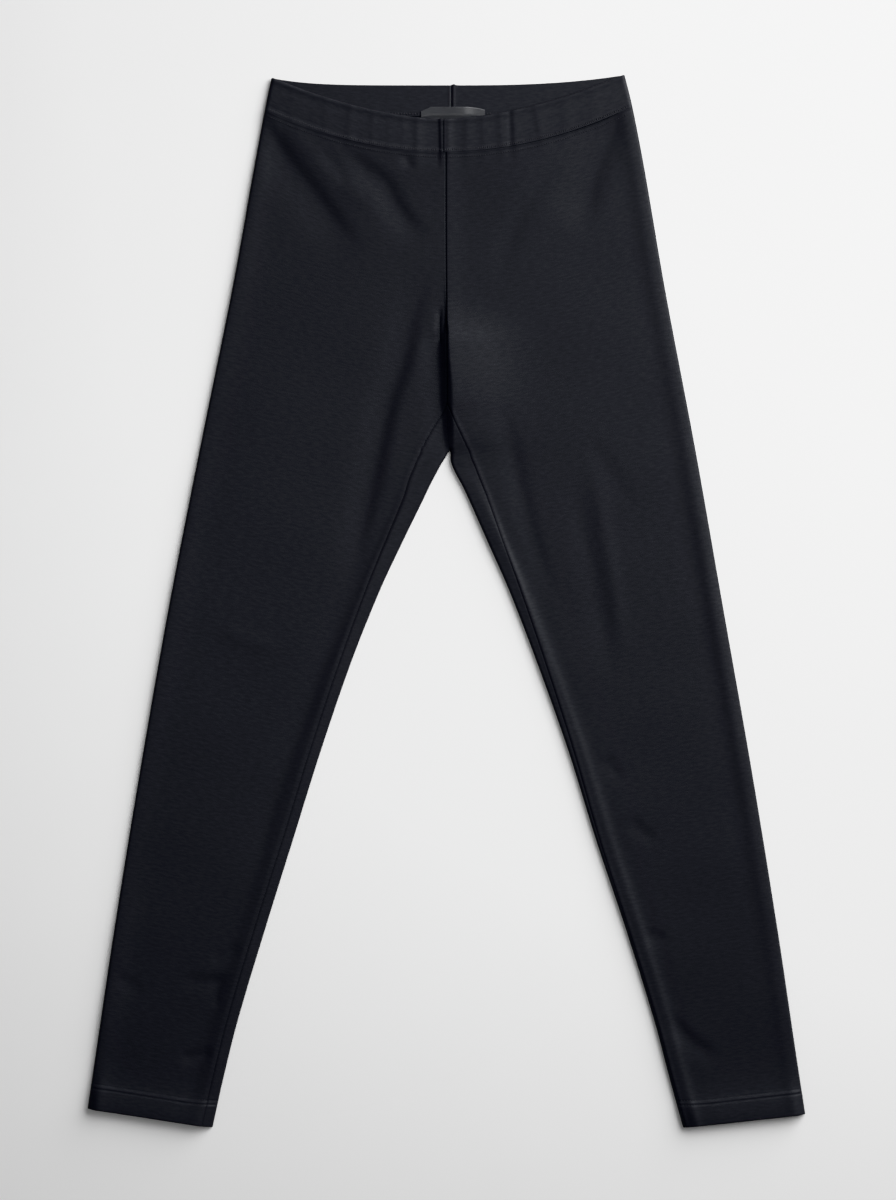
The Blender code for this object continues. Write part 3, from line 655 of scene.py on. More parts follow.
class LegLines:
    """Lines across one leg. Each runs from centre front and centre back, or below the apex from the
    leg's inner edge, to the outer fold."""

    def __init__(self, side, y, knit, lay):
        y = np.atleast_1d(np.asarray(y, float))[:, None]
        top_y = FRONT_SEAM_Y - BAND_GAP
        self.side, self.sign = side, 1.0 if side == "left" else -1.0
        self.y = y
        self.closed = y < APEX_Y
        self.laid, self.band_laid = lay.laid_height / MM, lay.band_height / MM
        self.crease_depth, self.pucker_depth = lay.crease_depth, lay.pucker_depth
        down = (APEX_Y - y) / (APEX_Y - HEM_Y)
        share = np.clip((top_y - y) / (top_y - APEX_Y), 0.0, 1.0)
        self.straight = share
        self.back_y = np.where(self.closed, y, mix(BACK_SEAM_Y - BAND_GAP, APEX_Y, share))
        self.outer_y = np.where(self.closed, y + mix(CROTCH_LIFT, HEM_LIFT[side], down),
                                mix(SIDE_SEAM_Y[side] - BAND_GAP, APEX_Y + CROTCH_LIFT, share))
        gap = self.sign * SEAM_GAP / 2
        self.front_x = inner_x(y, side) + np.where(self.closed, 0.0, gap)
        back_x = mix(CENTRE_BACK_X, inner_x(APEX_Y, side), share) + gap
        self.back_x = np.where(self.closed, self.front_x, back_x)
        self.outer_x = along(OUTER_EDGE, self.outer_y, side)
        self.width = np.abs(self.outer_x - self.front_x)
        self.back_width = np.abs(self.outer_x - self.back_x)
        self.inset = np.where(y <= INSEAM_TOP_Y, along(INSEAM_INSET, y, side), 0.0)
        self.above_hem = y - HEM_Y
        self.hem = smooth_step((HEM_DEPTH + HEM_EASE - self.above_hem) / HEM_EASE)
        rounded = 1.0 - np.sqrt(np.clip(1.0 - (1.0 - self.above_hem / EDGE_ROUNDING) ** 2, 0.0, 1.0))
        self.rounded = EDGE_ROUNDING * np.where(self.above_hem < EDGE_ROUNDING, rounded, 0.0)
        self.wall = mix(knit.layer, knit.hem_layer, self.hem) / MM - 2.0 * self.rounded

    def front_height(self, x, y, inward, from_seam):
        """Height of the outside of the front layer over the table, away from the side folds."""
        side = self.side
        from_inner = np.abs(x - inner_x(y, side))
        eased = np.where(y < APEX_Y, 1.0 - bump(APEX_Y - y, INNER_ROLL_EASE), 0.0)
        from_outer = np.abs(along(OUTER_EDGE, y, side) - x)
        z = self.laid + along(OUTER_ROLL_SHARE, y, side) * roll_height(OUTER_ROLL[side], from_outer)
        z = z + eased * roll_height(INNER_ROLL[side], from_inner) + lip_height(x, y)
        z = z + swell_height(x, y) + fullness_height(x, y)
        below_band = np.maximum(front_seam_y(x, side) - y, 0.0)
        z = z + (self.band_laid - STEP_AT_BAND - self.laid) * bump(below_band, WAIST_FADE)
        z = z + self.pucker_depth * pucker_height(x, 0.0) * bump(below_band, PUCKER_FADE)
        z = z + self.crease_depth * sum(crease_height(crease, x, y) for crease in CREASES)
        z = keep_above(z, LOWEST) + relief(BAND_SEAM_RELIEF, below_band)
        on_inseam = smooth_step((INSEAM_TOP_Y + 0.5 * INSEAM_BLEND - self.y) / INSEAM_BLEND)
        z = z + mix(relief(CENTRE_SEAM_RELIEF[side], from_seam),
                    relief(INSEAM_RELIEF[side], from_seam), on_inseam)
        hem_line = HEM_DEPTH + HEM_LINE_RISE * bump(inward, HEM_LINE_BEND)
        from_ends = (1.0 - bump(inward, HEM_ARCH_INNER)) * (1.0 - bump(from_outer, HEM_ARCH_OUTER))
        arch = from_ends * bump(self.above_hem, HEM_ARCH_REACH)
        z = z + HEM_RISE * self.hem + HEM_ARCH * arch + relief(HEM_RELIEF, self.above_hem - hem_line)
        return z - self.rounded

    def nearest_fold(self, x, y, inward, from_outer):
        """How far round the nearest fold a point is, and the level way from that fold into the leg."""
        outer = fold_angle(from_outer, FOLD_REACH)
        apex_x = inner_x(APEX_Y, self.side) + self.sign * SEAM_GAP / 2
        away_x, away_y = x - apex_x, y - APEX_Y
        away = np.hypot(away_x, away_y)
        reach = mix(CROTCH_REACH, FOLD_REACH, smooth_step((APEX_Y - self.y) / CROTCH_EASE))
        inner = np.where(self.closed, fold_angle(inward, reach), fold_angle(away, CROTCH_REACH))
        safe = np.maximum(away, 1e-6)
        into_x = np.where(self.closed, self.sign, np.where(inward == 0.0, 0.0, away_x / safe))
        into_y = np.where(self.closed, 0.0, np.where(inward == 0.0, 1.0, away_y / safe))
        use_inner = inner < outer
        return (np.where(use_inner, inner, outer), np.where(use_inner, into_x, -self.sign),
                np.where(use_inner, into_y, 0.0))

    def layer(self, x, y, inward, from_outer, from_seam, facing, lift=0.0):
        """Points of the outside and those behind them on the inside. The front layer faces up (1)
        and the back layer down (-1), and a fold's outermost line is halfway between them."""
        x, y, inward, from_outer = np.broadcast_arrays(x, y, inward, from_outer)
        half = 0.5 * self.front_height(x, y, inward, from_seam)
        angle, into_x, into_y = self.nearest_fold(x, y, inward, from_outer)
        outward = facing * np.sin(angle)
        z = half * (1.0 + outward) + lift * (facing < 0.0)
        wall = np.broadcast_to(self.wall, x.shape)
        outside = np.stack([x, y, z], axis=-1)
        turn = np.stack([np.cos(angle) * into_x, np.cos(angle) * into_y, -outward], axis=-1)
        return outside, outside + wall[..., None] * turn

    def front(self, inward, from_seam):
        """Points of the front layer, at distances from the lines' inner ends."""
        share = inward / self.width
        x = mix(self.front_x, self.outer_x, share)
        y = mix(self.y, self.outer_y, mix(share * share, share, self.straight))
        return self.layer(x, y, inward, self.width - inward, from_seam, 1.0)

    def back(self, inward):
        """Points of the back layer, which lies on the table."""
        share = inward / self.back_width
        x = mix(self.back_x, self.outer_x, share)
        y = mix(self.back_y, self.outer_y, mix(share * share, share, self.straight))
        lift = self.crease_depth * sum(crease_height(crease, x, y) for crease in BACK_CREASES)
        return self.layer(x, y, inward, self.back_width - inward, FAR, -1.0, lift)


def leg_heights():
    """Heights of the lines across a leg: close together at seams, the crotch and the hem."""
    near_band = FRONT_SEAM_Y - BAND_GAP - np.array(ROWS_BELOW_BAND)
    above_apex, below_apex, thigh, hem_top = 146.0, APEX_Y - 10.5, 99.0, HEM_Y + HEM_DEPTH
    stretches = (
        near_band,
        np.arange(near_band[-1] - 2.2, INSEAM_TOP_Y + 1.0, -2.4),
        np.arange(INSEAM_TOP_Y, above_apex + 0.5, -1.6),
        np.linspace(above_apex, APEX_Y, 12),
        APEX_Y - 0.7 * np.arange(1, 14),
        np.arange(below_apex, thigh + 1.0, -1.8),
        np.arange(thigh, hem_top + 10.0, -2.9),
        hem_top + np.arange(9.0, -4.1, -0.6),
        np.linspace(hem_top - 5.5, HEM_Y + 1.6, 7),
        HEM_Y + EDGE_ROUNDING * np.array(ROUNDING_SHARES),
    )
    return np.concatenate(stretches)


def leg_grid(side, knit, lay):
    """The outside and the inside of a leg as rows of points, its places in the cloth, and a number
    for each point: -1 where a slit leaves no cloth, and the same number where points meet."""
    heights = leg_heights()
    lines = LegLines(side, heights, knit, lay)
    t = np.arange(1, FRONT_STEPS) / FRONT_STEPS
    t = mix(t, 0.5 - 0.5 * np.cos(math.pi * t), CROWDING)
    near_seam = lines.inset + np.array(SEAM_PLACES)
    last = lines.width - FOLD_REACH
    inward = np.hstack([near_seam, mix(near_seam[:, -1:], last, t)])
    quarter = round_fold(FOLD_REACH)
    inward = np.hstack([inward, lines.width - quarter[::-1]])
    front = lines.front(inward, inward - lines.inset)
    front_cloth = np.stack(np.broadcast_arrays(inward, lines.y), axis=-1)

    steps = np.arange(BACK_STEPS + 1) / BACK_STEPS
    flat = mix(lines.back_width - FOLD_REACH, CROTCH_REACH, steps)
    closing = np.where(lines.closed, quarter[::-1][:-1], 0.0)
    back_inward = np.hstack([lines.back_width - quarter[1:-1], flat, closing])
    back = lines.back(back_inward)
    total = lines.width + lines.back_width
    back_cloth = np.stack(np.broadcast_arrays(total - back_inward, lines.y), axis=-1)

    across = 0.5 - 0.5 * np.cos(math.pi * np.arange(STRIP_STEPS + 1) / STRIP_STEPS)
    strip_width = np.maximum(lines.inset - SEAM_GAP, 0.0)
    strip_inward = strip_width * across
    strip = lines.front(strip_inward, np.minimum(strip_inward - strip_width, 0.0))
    strip_cloth = np.stack(np.broadcast_arrays(total + strip_inward, lines.y), axis=-1)

    outside = np.concatenate([front[0], back[0], strip[0]], axis=1)
    inside = np.concatenate([front[1], back[1], strip[1]], axis=1)
    cloth = np.concatenate([front_cloth, back_cloth, strip_cloth], axis=1)
    rows, columns = outside.shape[:2]
    number = np.arange(rows * columns).reshape(rows, columns)
    strip_start = columns - (STRIP_STEPS + 1)
    closing_start = strip_start - FOLD_STEPS
    opened = ~lines.closed[:, 0]
    number[opened, closing_start + 1:strip_start] = -1
    number[heights > INSEAM_TOP_Y, strip_start:] = -1
    apex = int(np.argmin(np.abs(heights - APEX_Y)))
    number[apex, closing_start:strip_start] = number[apex, strip_start]
    return outside, inside, cloth, number


# ---------------------------------------------------------------------------------------------------
# Half the waistband


class BandLines:
    """Lines along half the band, each at a distance down from its folded top edge."""

    def __init__(self, side, from_top, knit, lay):
        from_top = np.atleast_1d(np.asarray(from_top, float))[:, None]
        self.side, self.sign = side, 1.0 if side == "left" else -1.0
        self.from_top = from_top
        self.up = 1.0 - from_top / BAND_HEIGHT
        turned = 1.0 - np.sqrt(np.clip(1.0 - (1.0 - from_top / EDGE_ROUNDING) ** 2, 0.0, 1.0))
        self.rounded = EDGE_ROUNDING * np.where(from_top < EDGE_ROUNDING, turned, 0.0)
        self.wall = knit.band_layer / MM - 2.0 * self.rounded
        self.side_y = mix(SIDE_SEAM_Y[side], SIDE_TOP_Y[side], self.up)
        self.outer_x = along(OUTER_EDGE, self.side_y, side) - self.sign * self.rounded
        self.laid = lay.band_height / MM
        self.pucker_depth = lay.pucker_depth

    def layer(self, middle_x, middle_y, share, z, power, seam_wall=0.0):
        """Points of a layer that lies at height z, where share runs from the middle to the side."""
        x = mix(middle_x, self.outer_x, share)
        angle = fold_angle(np.abs(self.outer_x - x), BAND_FOLD_REACH - self.rounded)
        y = mix(middle_y, self.side_y, share ** power)
        half = self.laid / 2
        outside = np.stack(np.broadcast_arrays(x, y, mix(half, z, np.sin(angle))), axis=-1)
        up = np.where(z > half, -1.0, 1.0)
        level = -self.sign * np.cos(angle)
        turn = np.stack(np.broadcast_arrays(level, 0.0 * angle, up * np.sin(angle)), axis=-1)
        wall = np.broadcast_to(self.wall + seam_wall, x.shape)
        return outside, outside + wall[..., None] * turn

    def front(self, share):
        """Points of the front, at shares of the way from centre front to the side."""
        middle_x = CENTRE_FRONT_X + self.sign * SEAM_GAP / 2
        x = mix(middle_x, self.outer_x, share)
        z = self.laid - self.rounded + self.pucker_depth * pucker_height(x, self.up)
        z = z + relief(BAND_EDGE_RELIEF, BAND_HEIGHT - self.from_top)
        z = z + relief(BAND_FOLD_RELIEF, self.from_top)
        z = z + relief(BAND_CENTRE_RELIEF[self.side], np.abs(x - middle_x))
        return self.layer(middle_x, mix(FRONT_SEAM_Y, FRONT_TOP_Y, self.up), share, z,
                          mix(SEAM_POWER, FRONT_EDGE_POWER, self.up))

    def back(self, share):
        """Points of the back, at shares of the way from centre back to the side."""
        middle_x = CENTRE_BACK_X + self.sign * SEAM_GAP / 2
        z = np.broadcast_to(self.rounded, np.broadcast_shapes(share.shape, self.rounded.shape))
        x = mix(middle_x, self.outer_x, share)
        at_top = smooth_step((self.up - BACK_TOP_START) / (1.0 - BACK_TOP_START))
        middle_y = mix(BACK_SEAM_Y, BACK_TOP_Y, self.up) + at_top * relief(BACK_TOP_BUMP, x)
        shown = np.clip(self.from_top / EDGE_ROUNDING, 0.0, 1.0)
        power = mix(SEAM_POWER, BACK_EDGE_POWER[self.side], self.up)
        return self.layer(middle_x, middle_y, share, z, power, shown * relief(CENTRE_BACK_RELIEF, x))


def band_grid(side, knit, lay):
    """The outside and the inside of half the band, its places in the cloth, and its points' numbers."""
    from_top = np.concatenate([
        BAND_HEIGHT - np.array(ROWS_ON_BAND),
        np.linspace(21.0, 5.0, 9),
        ROWS_BELOW_FOLD,
        EDGE_ROUNDING * np.array(ROUNDING_SHARES),
    ])
    lines = BandLines(side, from_top, knit, lay)
    width = float(np.abs(lines.outer_x).max())
    middle = np.array(SEAM_PLACES[:BAND_SEAM_PLACES]) / width
    quarter = 1.0 - round_fold(BAND_FOLD_REACH)[::-1] / width
    steps = np.arange(1, BAND_STEPS) / BAND_STEPS
    share = np.concatenate([middle, mix(middle[-1], quarter[0], steps), quarter])[None, :]
    fewer = mix(quarter[0], middle[-1], steps[::BAND_BACK_SKIP])
    back_share = np.concatenate([quarter[::-1][1:], fewer, middle[::-1]])
    front, back = lines.front(share), lines.back(back_share[None, :])
    outside = np.concatenate([front[0], back[0]], axis=1)
    inside = np.concatenate([front[1], back[1]], axis=1)
    run = np.concatenate([share[0] * width, 2.0 * width - back_share * width])
    cloth = np.stack(np.broadcast_arrays(run[None, :], -lines.from_top), axis=-1)
    number = np.arange(outside.shape[0] * outside.shape[1]).reshape(outside.shape[:2])
    return outside, inside, cloth, number


# ---------------------------------------------------------------------------------------------------
# Turning points into pieces


def make_shell(name, grid, material, flip):
    """A closed piece of cloth from the grid of its outside and the grid of its inside. With flip its
    faces run the other way round, as on the piece of the other side."""
    outside, inside, cloth, number = grid
    a, b, c, d = number[:-1, :-1], number[:-1, 1:], number[1:, 1:], number[1:, :-1]
    corners = np.stack([a, b, c, d], axis=-1).reshape(-1, 4)
    corners = corners[(corners >= 0).all(axis=1)]
    faces = []
    for quad in corners.tolist():
        face = [v for i, v in enumerate(quad) if v != quad[i - 1]]
        if len(face) >= 3:
            faces.append(face[::-1] if flip else face)
    seen = {}
    for face in faces:
        for first, second in zip(face, face[1:] + face[:1]):
            seen[first, second] = seen.get((second, first), 0) + 1
            if (second, first) in seen:
                seen[second, first] = 2
    rims = [edge for edge, times in seen.items() if times == 1]
    count = number.size
    shell = [face[::-1] for face in faces]
    shell += [[v + count for v in face] for face in faces]
    shell += [[first, second, second + count, first + count] for first, second in rims]
    used = np.unique(np.concatenate([np.asarray(face) for face in shell]))
    place = np.full(2 * count, -1)
    place[used] = np.arange(len(used))
    points = np.concatenate([outside.reshape(-1, 3), inside.reshape(-1, 3)])[used] * MM
    cloth_places = np.tile(cloth.reshape(-1, 2), (2, 1))[used] * MM
    mesh = bpy.data.meshes.new(name)
    mesh.from_pydata(points.tolist(), [], [[int(place[v]) for v in face] for face in shell])
    mesh.validate()
    layer = mesh.uv_layers.new(name="cloth")
    loops = np.empty(len(mesh.loops), dtype=np.int32)
    mesh.loops.foreach_get("vertex_index", loops)
    layer.data.foreach_set("uv", cloth_places[loops].ravel())
    return finish_piece(name, mesh, material)


def finish_piece(name, mesh, material, smooth_below=40.0):
    """An object with outward faces, smooth where they meet at less than an angle in degrees."""
    mesh.materials.append(material)
    bm = bmesh.new()
    bm.from_mesh(mesh)
    bmesh.ops.recalc_face_normals(bm, faces=bm.faces)
    bm.to_mesh(mesh)
    bm.free()
    mesh.shade_smooth()
    mesh.set_sharp_from_angle(angle=math.radians(smooth_below))
    piece = bpy.data.objects.new(name, mesh)
    bpy.context.scene.collection.objects.link(piece)
    return piece


def make_stitches(name, places, material):
    """Stitches as one mesh. Each place is where a stitch lies, its way, the way out of the cloth, and
    its length and width. A stitch arches out of the cloth and dips back into it at both ends."""
    around, rings = 6, 5
    turn = 2.0 * math.pi * np.arange(around) / around
    points, faces = [], []
    for at, way, out, length, width in places:
        at, way, out = np.asarray(at, float), np.asarray(way, float), np.asarray(out, float)
        way = way / np.linalg.norm(way)
        out = out - way * (out @ way)
        out = out / np.linalg.norm(out)
        beside = np.cross(way, out)
        base = len(points)
        for r in range(rings):
            s = -1.0 + 2.0 * r / (rings - 1)
            thick = 0.5 * width * (1.0 - STITCH_TAPER * s * s)
            rise = STITCH_RISE * width * (1.0 - STITCH_DIP * s * s)
            centre = at + way * (0.5 * length * s) + out * rise
            ring = centre + thick * (np.cos(turn)[:, None] * beside + np.sin(turn)[:, None] * out)
            points += ring.tolist()
        for r in range(rings - 1):
            for i in range(around):
                j = (i + 1) % around
                faces.append([base + r * around + i, base + r * around + j,
                              base + (r + 1) * around + j, base + (r + 1) * around + i])
        faces.append([base + i for i in range(around)][::-1])
        faces.append([base + (rings - 1) * around + i for i in range(around)])
    mesh = bpy.data.meshes.new(name)
    mesh.from_pydata((np.array(points) * MM).tolist(), [], faces)
    return finish_piece(name, mesh, material, 60.0)


def stitches_along(points, outs, pitch, length, width, across=0.0, slant=0.0):
    """Stitches at an even pitch along a line of points. With across they lie square to the line,
    slanting to and fro, and otherwise along it."""
    steps = np.linalg.norm(np.diff(points, axis=0), axis=1)
    run = np.concatenate([[0.0], np.cumsum(steps)])
    places = []
    for k, s in enumerate(np.arange(0.5 * pitch, run[-1] - 0.4 * pitch, pitch)):
        at = np.array([np.interp(s, run, points[:, i]) for i in range(3)])
        ahead = np.array([np.interp(min(s + 0.5, run[-1]), run, points[:, i]) for i in range(3)])
        behind = np.array([np.interp(max(s - 0.5, 0.0), run, points[:, i]) for i in range(3)])
        out = np.array([np.interp(s, run, outs[:, i]) for i in range(3)])
        way = (ahead - behind) / max(np.linalg.norm(ahead - behind), 1e-9)
        out = out / max(np.linalg.norm(out), 1e-9)
        if across:
            lean = slant if k % 2 else -slant
            way = across * np.cross(out, way) + lean * way
        uneven = 1.0 + 0.08 * math.sin(2.4 * k) + 0.05 * math.sin(5.1 * k + 1.0)
        places.append((at, way, out, length * uneven, width))
    return places


# ---------------------------------------------------------------------------------------------------
# Materials


def add_node(tree, kind, inputs=(), **settings):
    """Add a node of a kind with its settings, and a value or a link on each named input."""
    node = tree.nodes.new(kind)
    for name, value in settings.items():
        setattr(node, name, value)
    for socket, value in dict(inputs).items():
        if isinstance(value, bpy.types.NodeSocket):
            tree.links.new(value, node.inputs[socket])
        else:
            node.inputs[socket].default_value = value
    return node


def new_material(name):
    """A material, its nodes and its shader."""
    material = bpy.data.materials.new(name)
    material.use_nodes = True
    tree = material.node_tree
    shader = tree.nodes["Principled BSDF"]
    return material, tree, shader


def double_knit_jersey(name, knit, brightness=1.0):
    """Black double-knit jersey in viscose and polyester. Fibres dyed to slightly different blacks lie
    in short streaks along the rows of stitches, so the black is never flat, and the brushed fibre ends
    give it a broad, faintly blue sheen and no gloss."""
    material, tree, shader = new_material(name)
    place = add_node(tree, "ShaderNodeUVMap", uv_map="cloth").outputs["UV"]
    # A stitch is about 0.8 mm wide and high. A streak is drawn a few stitches long and two or three high.
    streaks = add_node(tree, "ShaderNodeVectorMath", {
        0: place, 1: (1.0 / knit.streak_length, 1.0 / knit.streak_height, 1.0)}, operation="MULTIPLY")
    melange = add_node(tree, "ShaderNodeTexNoise", {
        "Vector": streaks.outputs[0], "Scale": 1.0, "Detail": 1.0, "Roughness": 0.6})
    share = add_node(tree, "ShaderNodeMapRange", {
        "Value": melange.outputs["Fac"], "From Min": 0.28, "From Max": 0.72})
    colour = add_node(tree, "ShaderNodeMix", {
        0: share.outputs[0],
        6: (*(brightness * c for c in knit.dark_yarn), 1.0),
        7: (*(brightness * c for c in knit.light_yarn), 1.0)}, data_type="RGBA")
    tree.links.new(colour.outputs[2], shader.inputs["Base Color"])
    rough = add_node(tree, "ShaderNodeMapRange", {
        "Value": melange.outputs["Fac"], "From Min": 0.3, "From Max": 0.7, "To Min": 0.6, "To Max": 0.54})
    tree.links.new(rough.outputs[0], shader.inputs["Roughness"])
    # Rows of stitches and ribs about 0.8 mm apart are too fine to show one by one: they are drawn
    # 1.3 and 1.6 mm apart, and only roughen the shading.
    rows = add_node(tree, "ShaderNodeVectorMath", {
        0: place, 1: (1.0 / (1.6 * MM), 1.0 / (1.3 * MM), 1.0)}, operation="MULTIPLY")
    stitches = add_node(tree, "ShaderNodeTexVoronoi", {
        "Vector": rows.outputs[0], "Scale": 1.0, "Randomness": 0.45}, feature="SMOOTH_F1")
    height = add_node(tree, "ShaderNodeMath", {
        0: stitches.outputs["Distance"], 1: -0.35, 2: melange.outputs["Fac"]}, operation="MULTIPLY_ADD")
    ridges = add_node(tree, "ShaderNodeBump", {
        "Height": height.outputs[0], "Strength": 0.28, "Distance": 0.35 * MM})
    tree.links.new(ridges.outputs[0], shader.inputs["Normal"])
    shader.inputs["IOR"].default_value = 1.5
    shader.inputs["Specular IOR Level"].default_value = 0.24
    shader.inputs["Specular Tint"].default_value = (0.91, 0.95, 1.0, 1.0)
    return material


def satin_label_cloth(name, sewing):
    """Woven polyester satin: long floats of bright thread on its face give a soft band of gloss across
    it, and its fine cross threads show as faint lines."""
    material, tree, shader = new_material(name)
    place = add_node(tree, "ShaderNodeUVMap", uv_map="cloth").outputs["UV"]
    # Threads 0.25 mm apart, drawn 0.9 mm apart so that they show.
    fine = add_node(tree, "ShaderNodeVectorMath", {
        0: place, 1: (1.0 / (9.0 * MM), 1.0 / (0.9 * MM), 1.0)}, operation="MULTIPLY")
    threads = add_node(tree, "ShaderNodeTexNoise", {"Vector": fine.outputs[0], "Scale": 1.0, "Detail": 1.0})
    colour = add_node(tree, "ShaderNodeMix", {
        0: threads.outputs["Fac"],
        6: (*(0.75 * c for c in sewing.label_colour), 1.0),
        7: (*(1.25 * c for c in sewing.label_colour), 1.0)}, data_type="RGBA")
    tree.links.new(colour.outputs[2], shader.inputs["Base Color"])
    bump_node = add_node(tree, "ShaderNodeBump", {
        "Height": threads.outputs["Fac"], "Strength": 0.25, "Distance": 0.15 * MM})
    tree.links.new(bump_node.outputs[0], shader.inputs["Normal"])
    shader.inputs["Roughness"].default_value = 0.38
    shader.inputs["Specular IOR Level"].default_value = 0.5
    return material


def sewing_thread(name, sewing):
    """Spun polyester sewing thread: twisted, so each stitch has fine slanting lines, and a little
    glossier than the jersey, so it catches the light on it."""
    material, tree, shader = new_material(name)
    place = add_node(tree, "ShaderNodeTexCoord").outputs["Object"]
    # A real ply is 0.1 mm; it is drawn 0.4 mm.
    plies = add_node(tree, "ShaderNodeTexNoise", {"Vector": place, "Scale": 1.0 / (0.4 * MM), "Detail": 0.0})
    colour = add_node(tree, "ShaderNodeMix", {
        0: plies.outputs["Fac"],
        6: (*(0.7 * c for c in sewing.thread_colour), 1.0),
        7: (*(1.3 * c for c in sewing.thread_colour), 1.0)}, data_type="RGBA")
    tree.links.new(colour.outputs[2], shader.inputs["Base Color"])
    shader.inputs["Roughness"].default_value = 0.5
    shader.inputs["Specular IOR Level"].default_value = 0.4
    return material


def painted_board(name, stage):
    """A board with flat white paint, rolled on: pale and even, with the faintest mottle and no gloss."""
    material, tree, shader = new_material(name)
    place = add_node(tree, "ShaderNodeTexCoord").outputs["Object"]
    mottle = add_node(tree, "ShaderNodeTexNoise", {"Vector": place, "Scale": 9.0, "Detail": 2.0})
    colour = add_node(tree, "ShaderNodeMix", {
        0: mottle.outputs["Fac"],
        6: (*(0.985 * c for c in stage.floor_colour), 1.0),
        7: (*(1.0 * c for c in stage.floor_colour), 1.0)}, data_type="RGBA")
    tree.links.new(colour.outputs[2], shader.inputs["Base Color"])
    shader.inputs["Roughness"].default_value = 0.9
    shader.inputs["Specular IOR Level"].default_value = 0.1
    return material


# ---------------------------------------------------------------------------------------------------
# Operators


class LEGGINGS_OT_make_legs(bpy.types.Operator):
    """Make the two leg panels, laid flat with their creases, seams and turned hems"""

    bl_idname = "leggings.make_legs"
    bl_label = "Make legs"

    def execute(self, context):
        knit, lay = context.scene.leggings_knit, context.scene.leggings_lay
        for side in SIDES:
            material = double_knit_jersey(f"double_knit_jersey_leg_{side}", knit)
            leg = make_shell(f"knit_leg_{side}", leg_grid(side, knit, lay), material, side == "left")
            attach(leg, "root")
            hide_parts(f"leg_{side}")
        return {"FINISHED"}


class LEGGINGS_OT_make_waistband(bpy.types.Operator):
    """Make the two halves of the waistband, gathered by the elastic inside them"""

    bl_idname = "leggings.make_waistband"
    bl_label = "Make waistband"

    def execute(self, context):
        knit, lay = context.scene.leggings_knit, context.scene.leggings_lay
        for side in SIDES:
            # The band's jersey is the legs' jersey made paler, as painted light.
            material = double_knit_jersey(f"double_knit_jersey_band_{side}", knit, BAND_PAINTED_LIGHT)
            band = make_shell(f"knit_band_{side}", band_grid(side, knit, lay), material, side == "right")
            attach(band, "root")
            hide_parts(f"waistband_{side}")
        return {"FINISHED"}


class LEGGINGS_OT_make_label(bpy.types.Operator):
    """Make the satin label inside the back of the waistband"""

    bl_idname = "leggings.make_label"
    bl_label = "Make label"

    def execute(self, context):
        knit, sewing = context.scene.leggings_knit, context.scene.leggings_sewing
        on_band = knit.band_layer / MM + LABEL_CLOTH + LABEL_OVER_BAND
        on_leg = knit.layer / MM + LABEL_CLOTH + LABEL_OVER_LEG
        across = np.linspace(-1.0, 1.0, 41)[None, :]
        down = np.concatenate([[0.0, 0.15, 0.45], np.linspace(1.0, LABEL_HEIGHT, 22)])[:, None]
        left = np.clip((-across - LABEL_LEFT_START) / (1.0 - LABEL_LEFT_START), 0.0, 1.0)
        right = across**LABEL_RIGHT_POWER
        ends = np.where(across < 0.0, LABEL_LEFT_CORNER * left, LABEL_RIGHT_CORNER * right)
        x = LABEL_X + 0.5 * LABEL_WIDTH * across + 0.0 * down
        y = LABEL_TOP_Y - LABEL_CORNER * ends * bump(down, LABEL_CORNER_REACH) - down
        z = mix(on_band, on_leg, smooth_step((down - LABEL_ON_BAND) / LABEL_STEP))
        z = z + LABEL_CROWN * (1.0 - across**2)
        curl_width = np.where(x < LABEL_CURL_X, LABEL_CURL_LEFT, LABEL_CURL_RIGHT)
        z = z + LABEL_CURL * bump(x - LABEL_CURL_X, curl_width)
        rounded = 0.5 * LABEL_CLOTH * bump(down, LABEL_ROUNDING)
        outside = np.stack([x, y, z - rounded], axis=-1)
        wall = LABEL_CLOTH - 2.0 * rounded + 0.0 * x
        inside = outside - np.stack(np.broadcast_arrays(0.0, 0.0, wall), axis=-1)
        cloth = np.stack([x, y], axis=-1)
        number = np.arange(x.size).reshape(x.shape)
        label = make_shell("satin_label", (outside, inside, cloth, number),
                           satin_label_cloth("woven_satin", sewing), False)
        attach(label, "root")
        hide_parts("label")
        return {"FINISHED"}


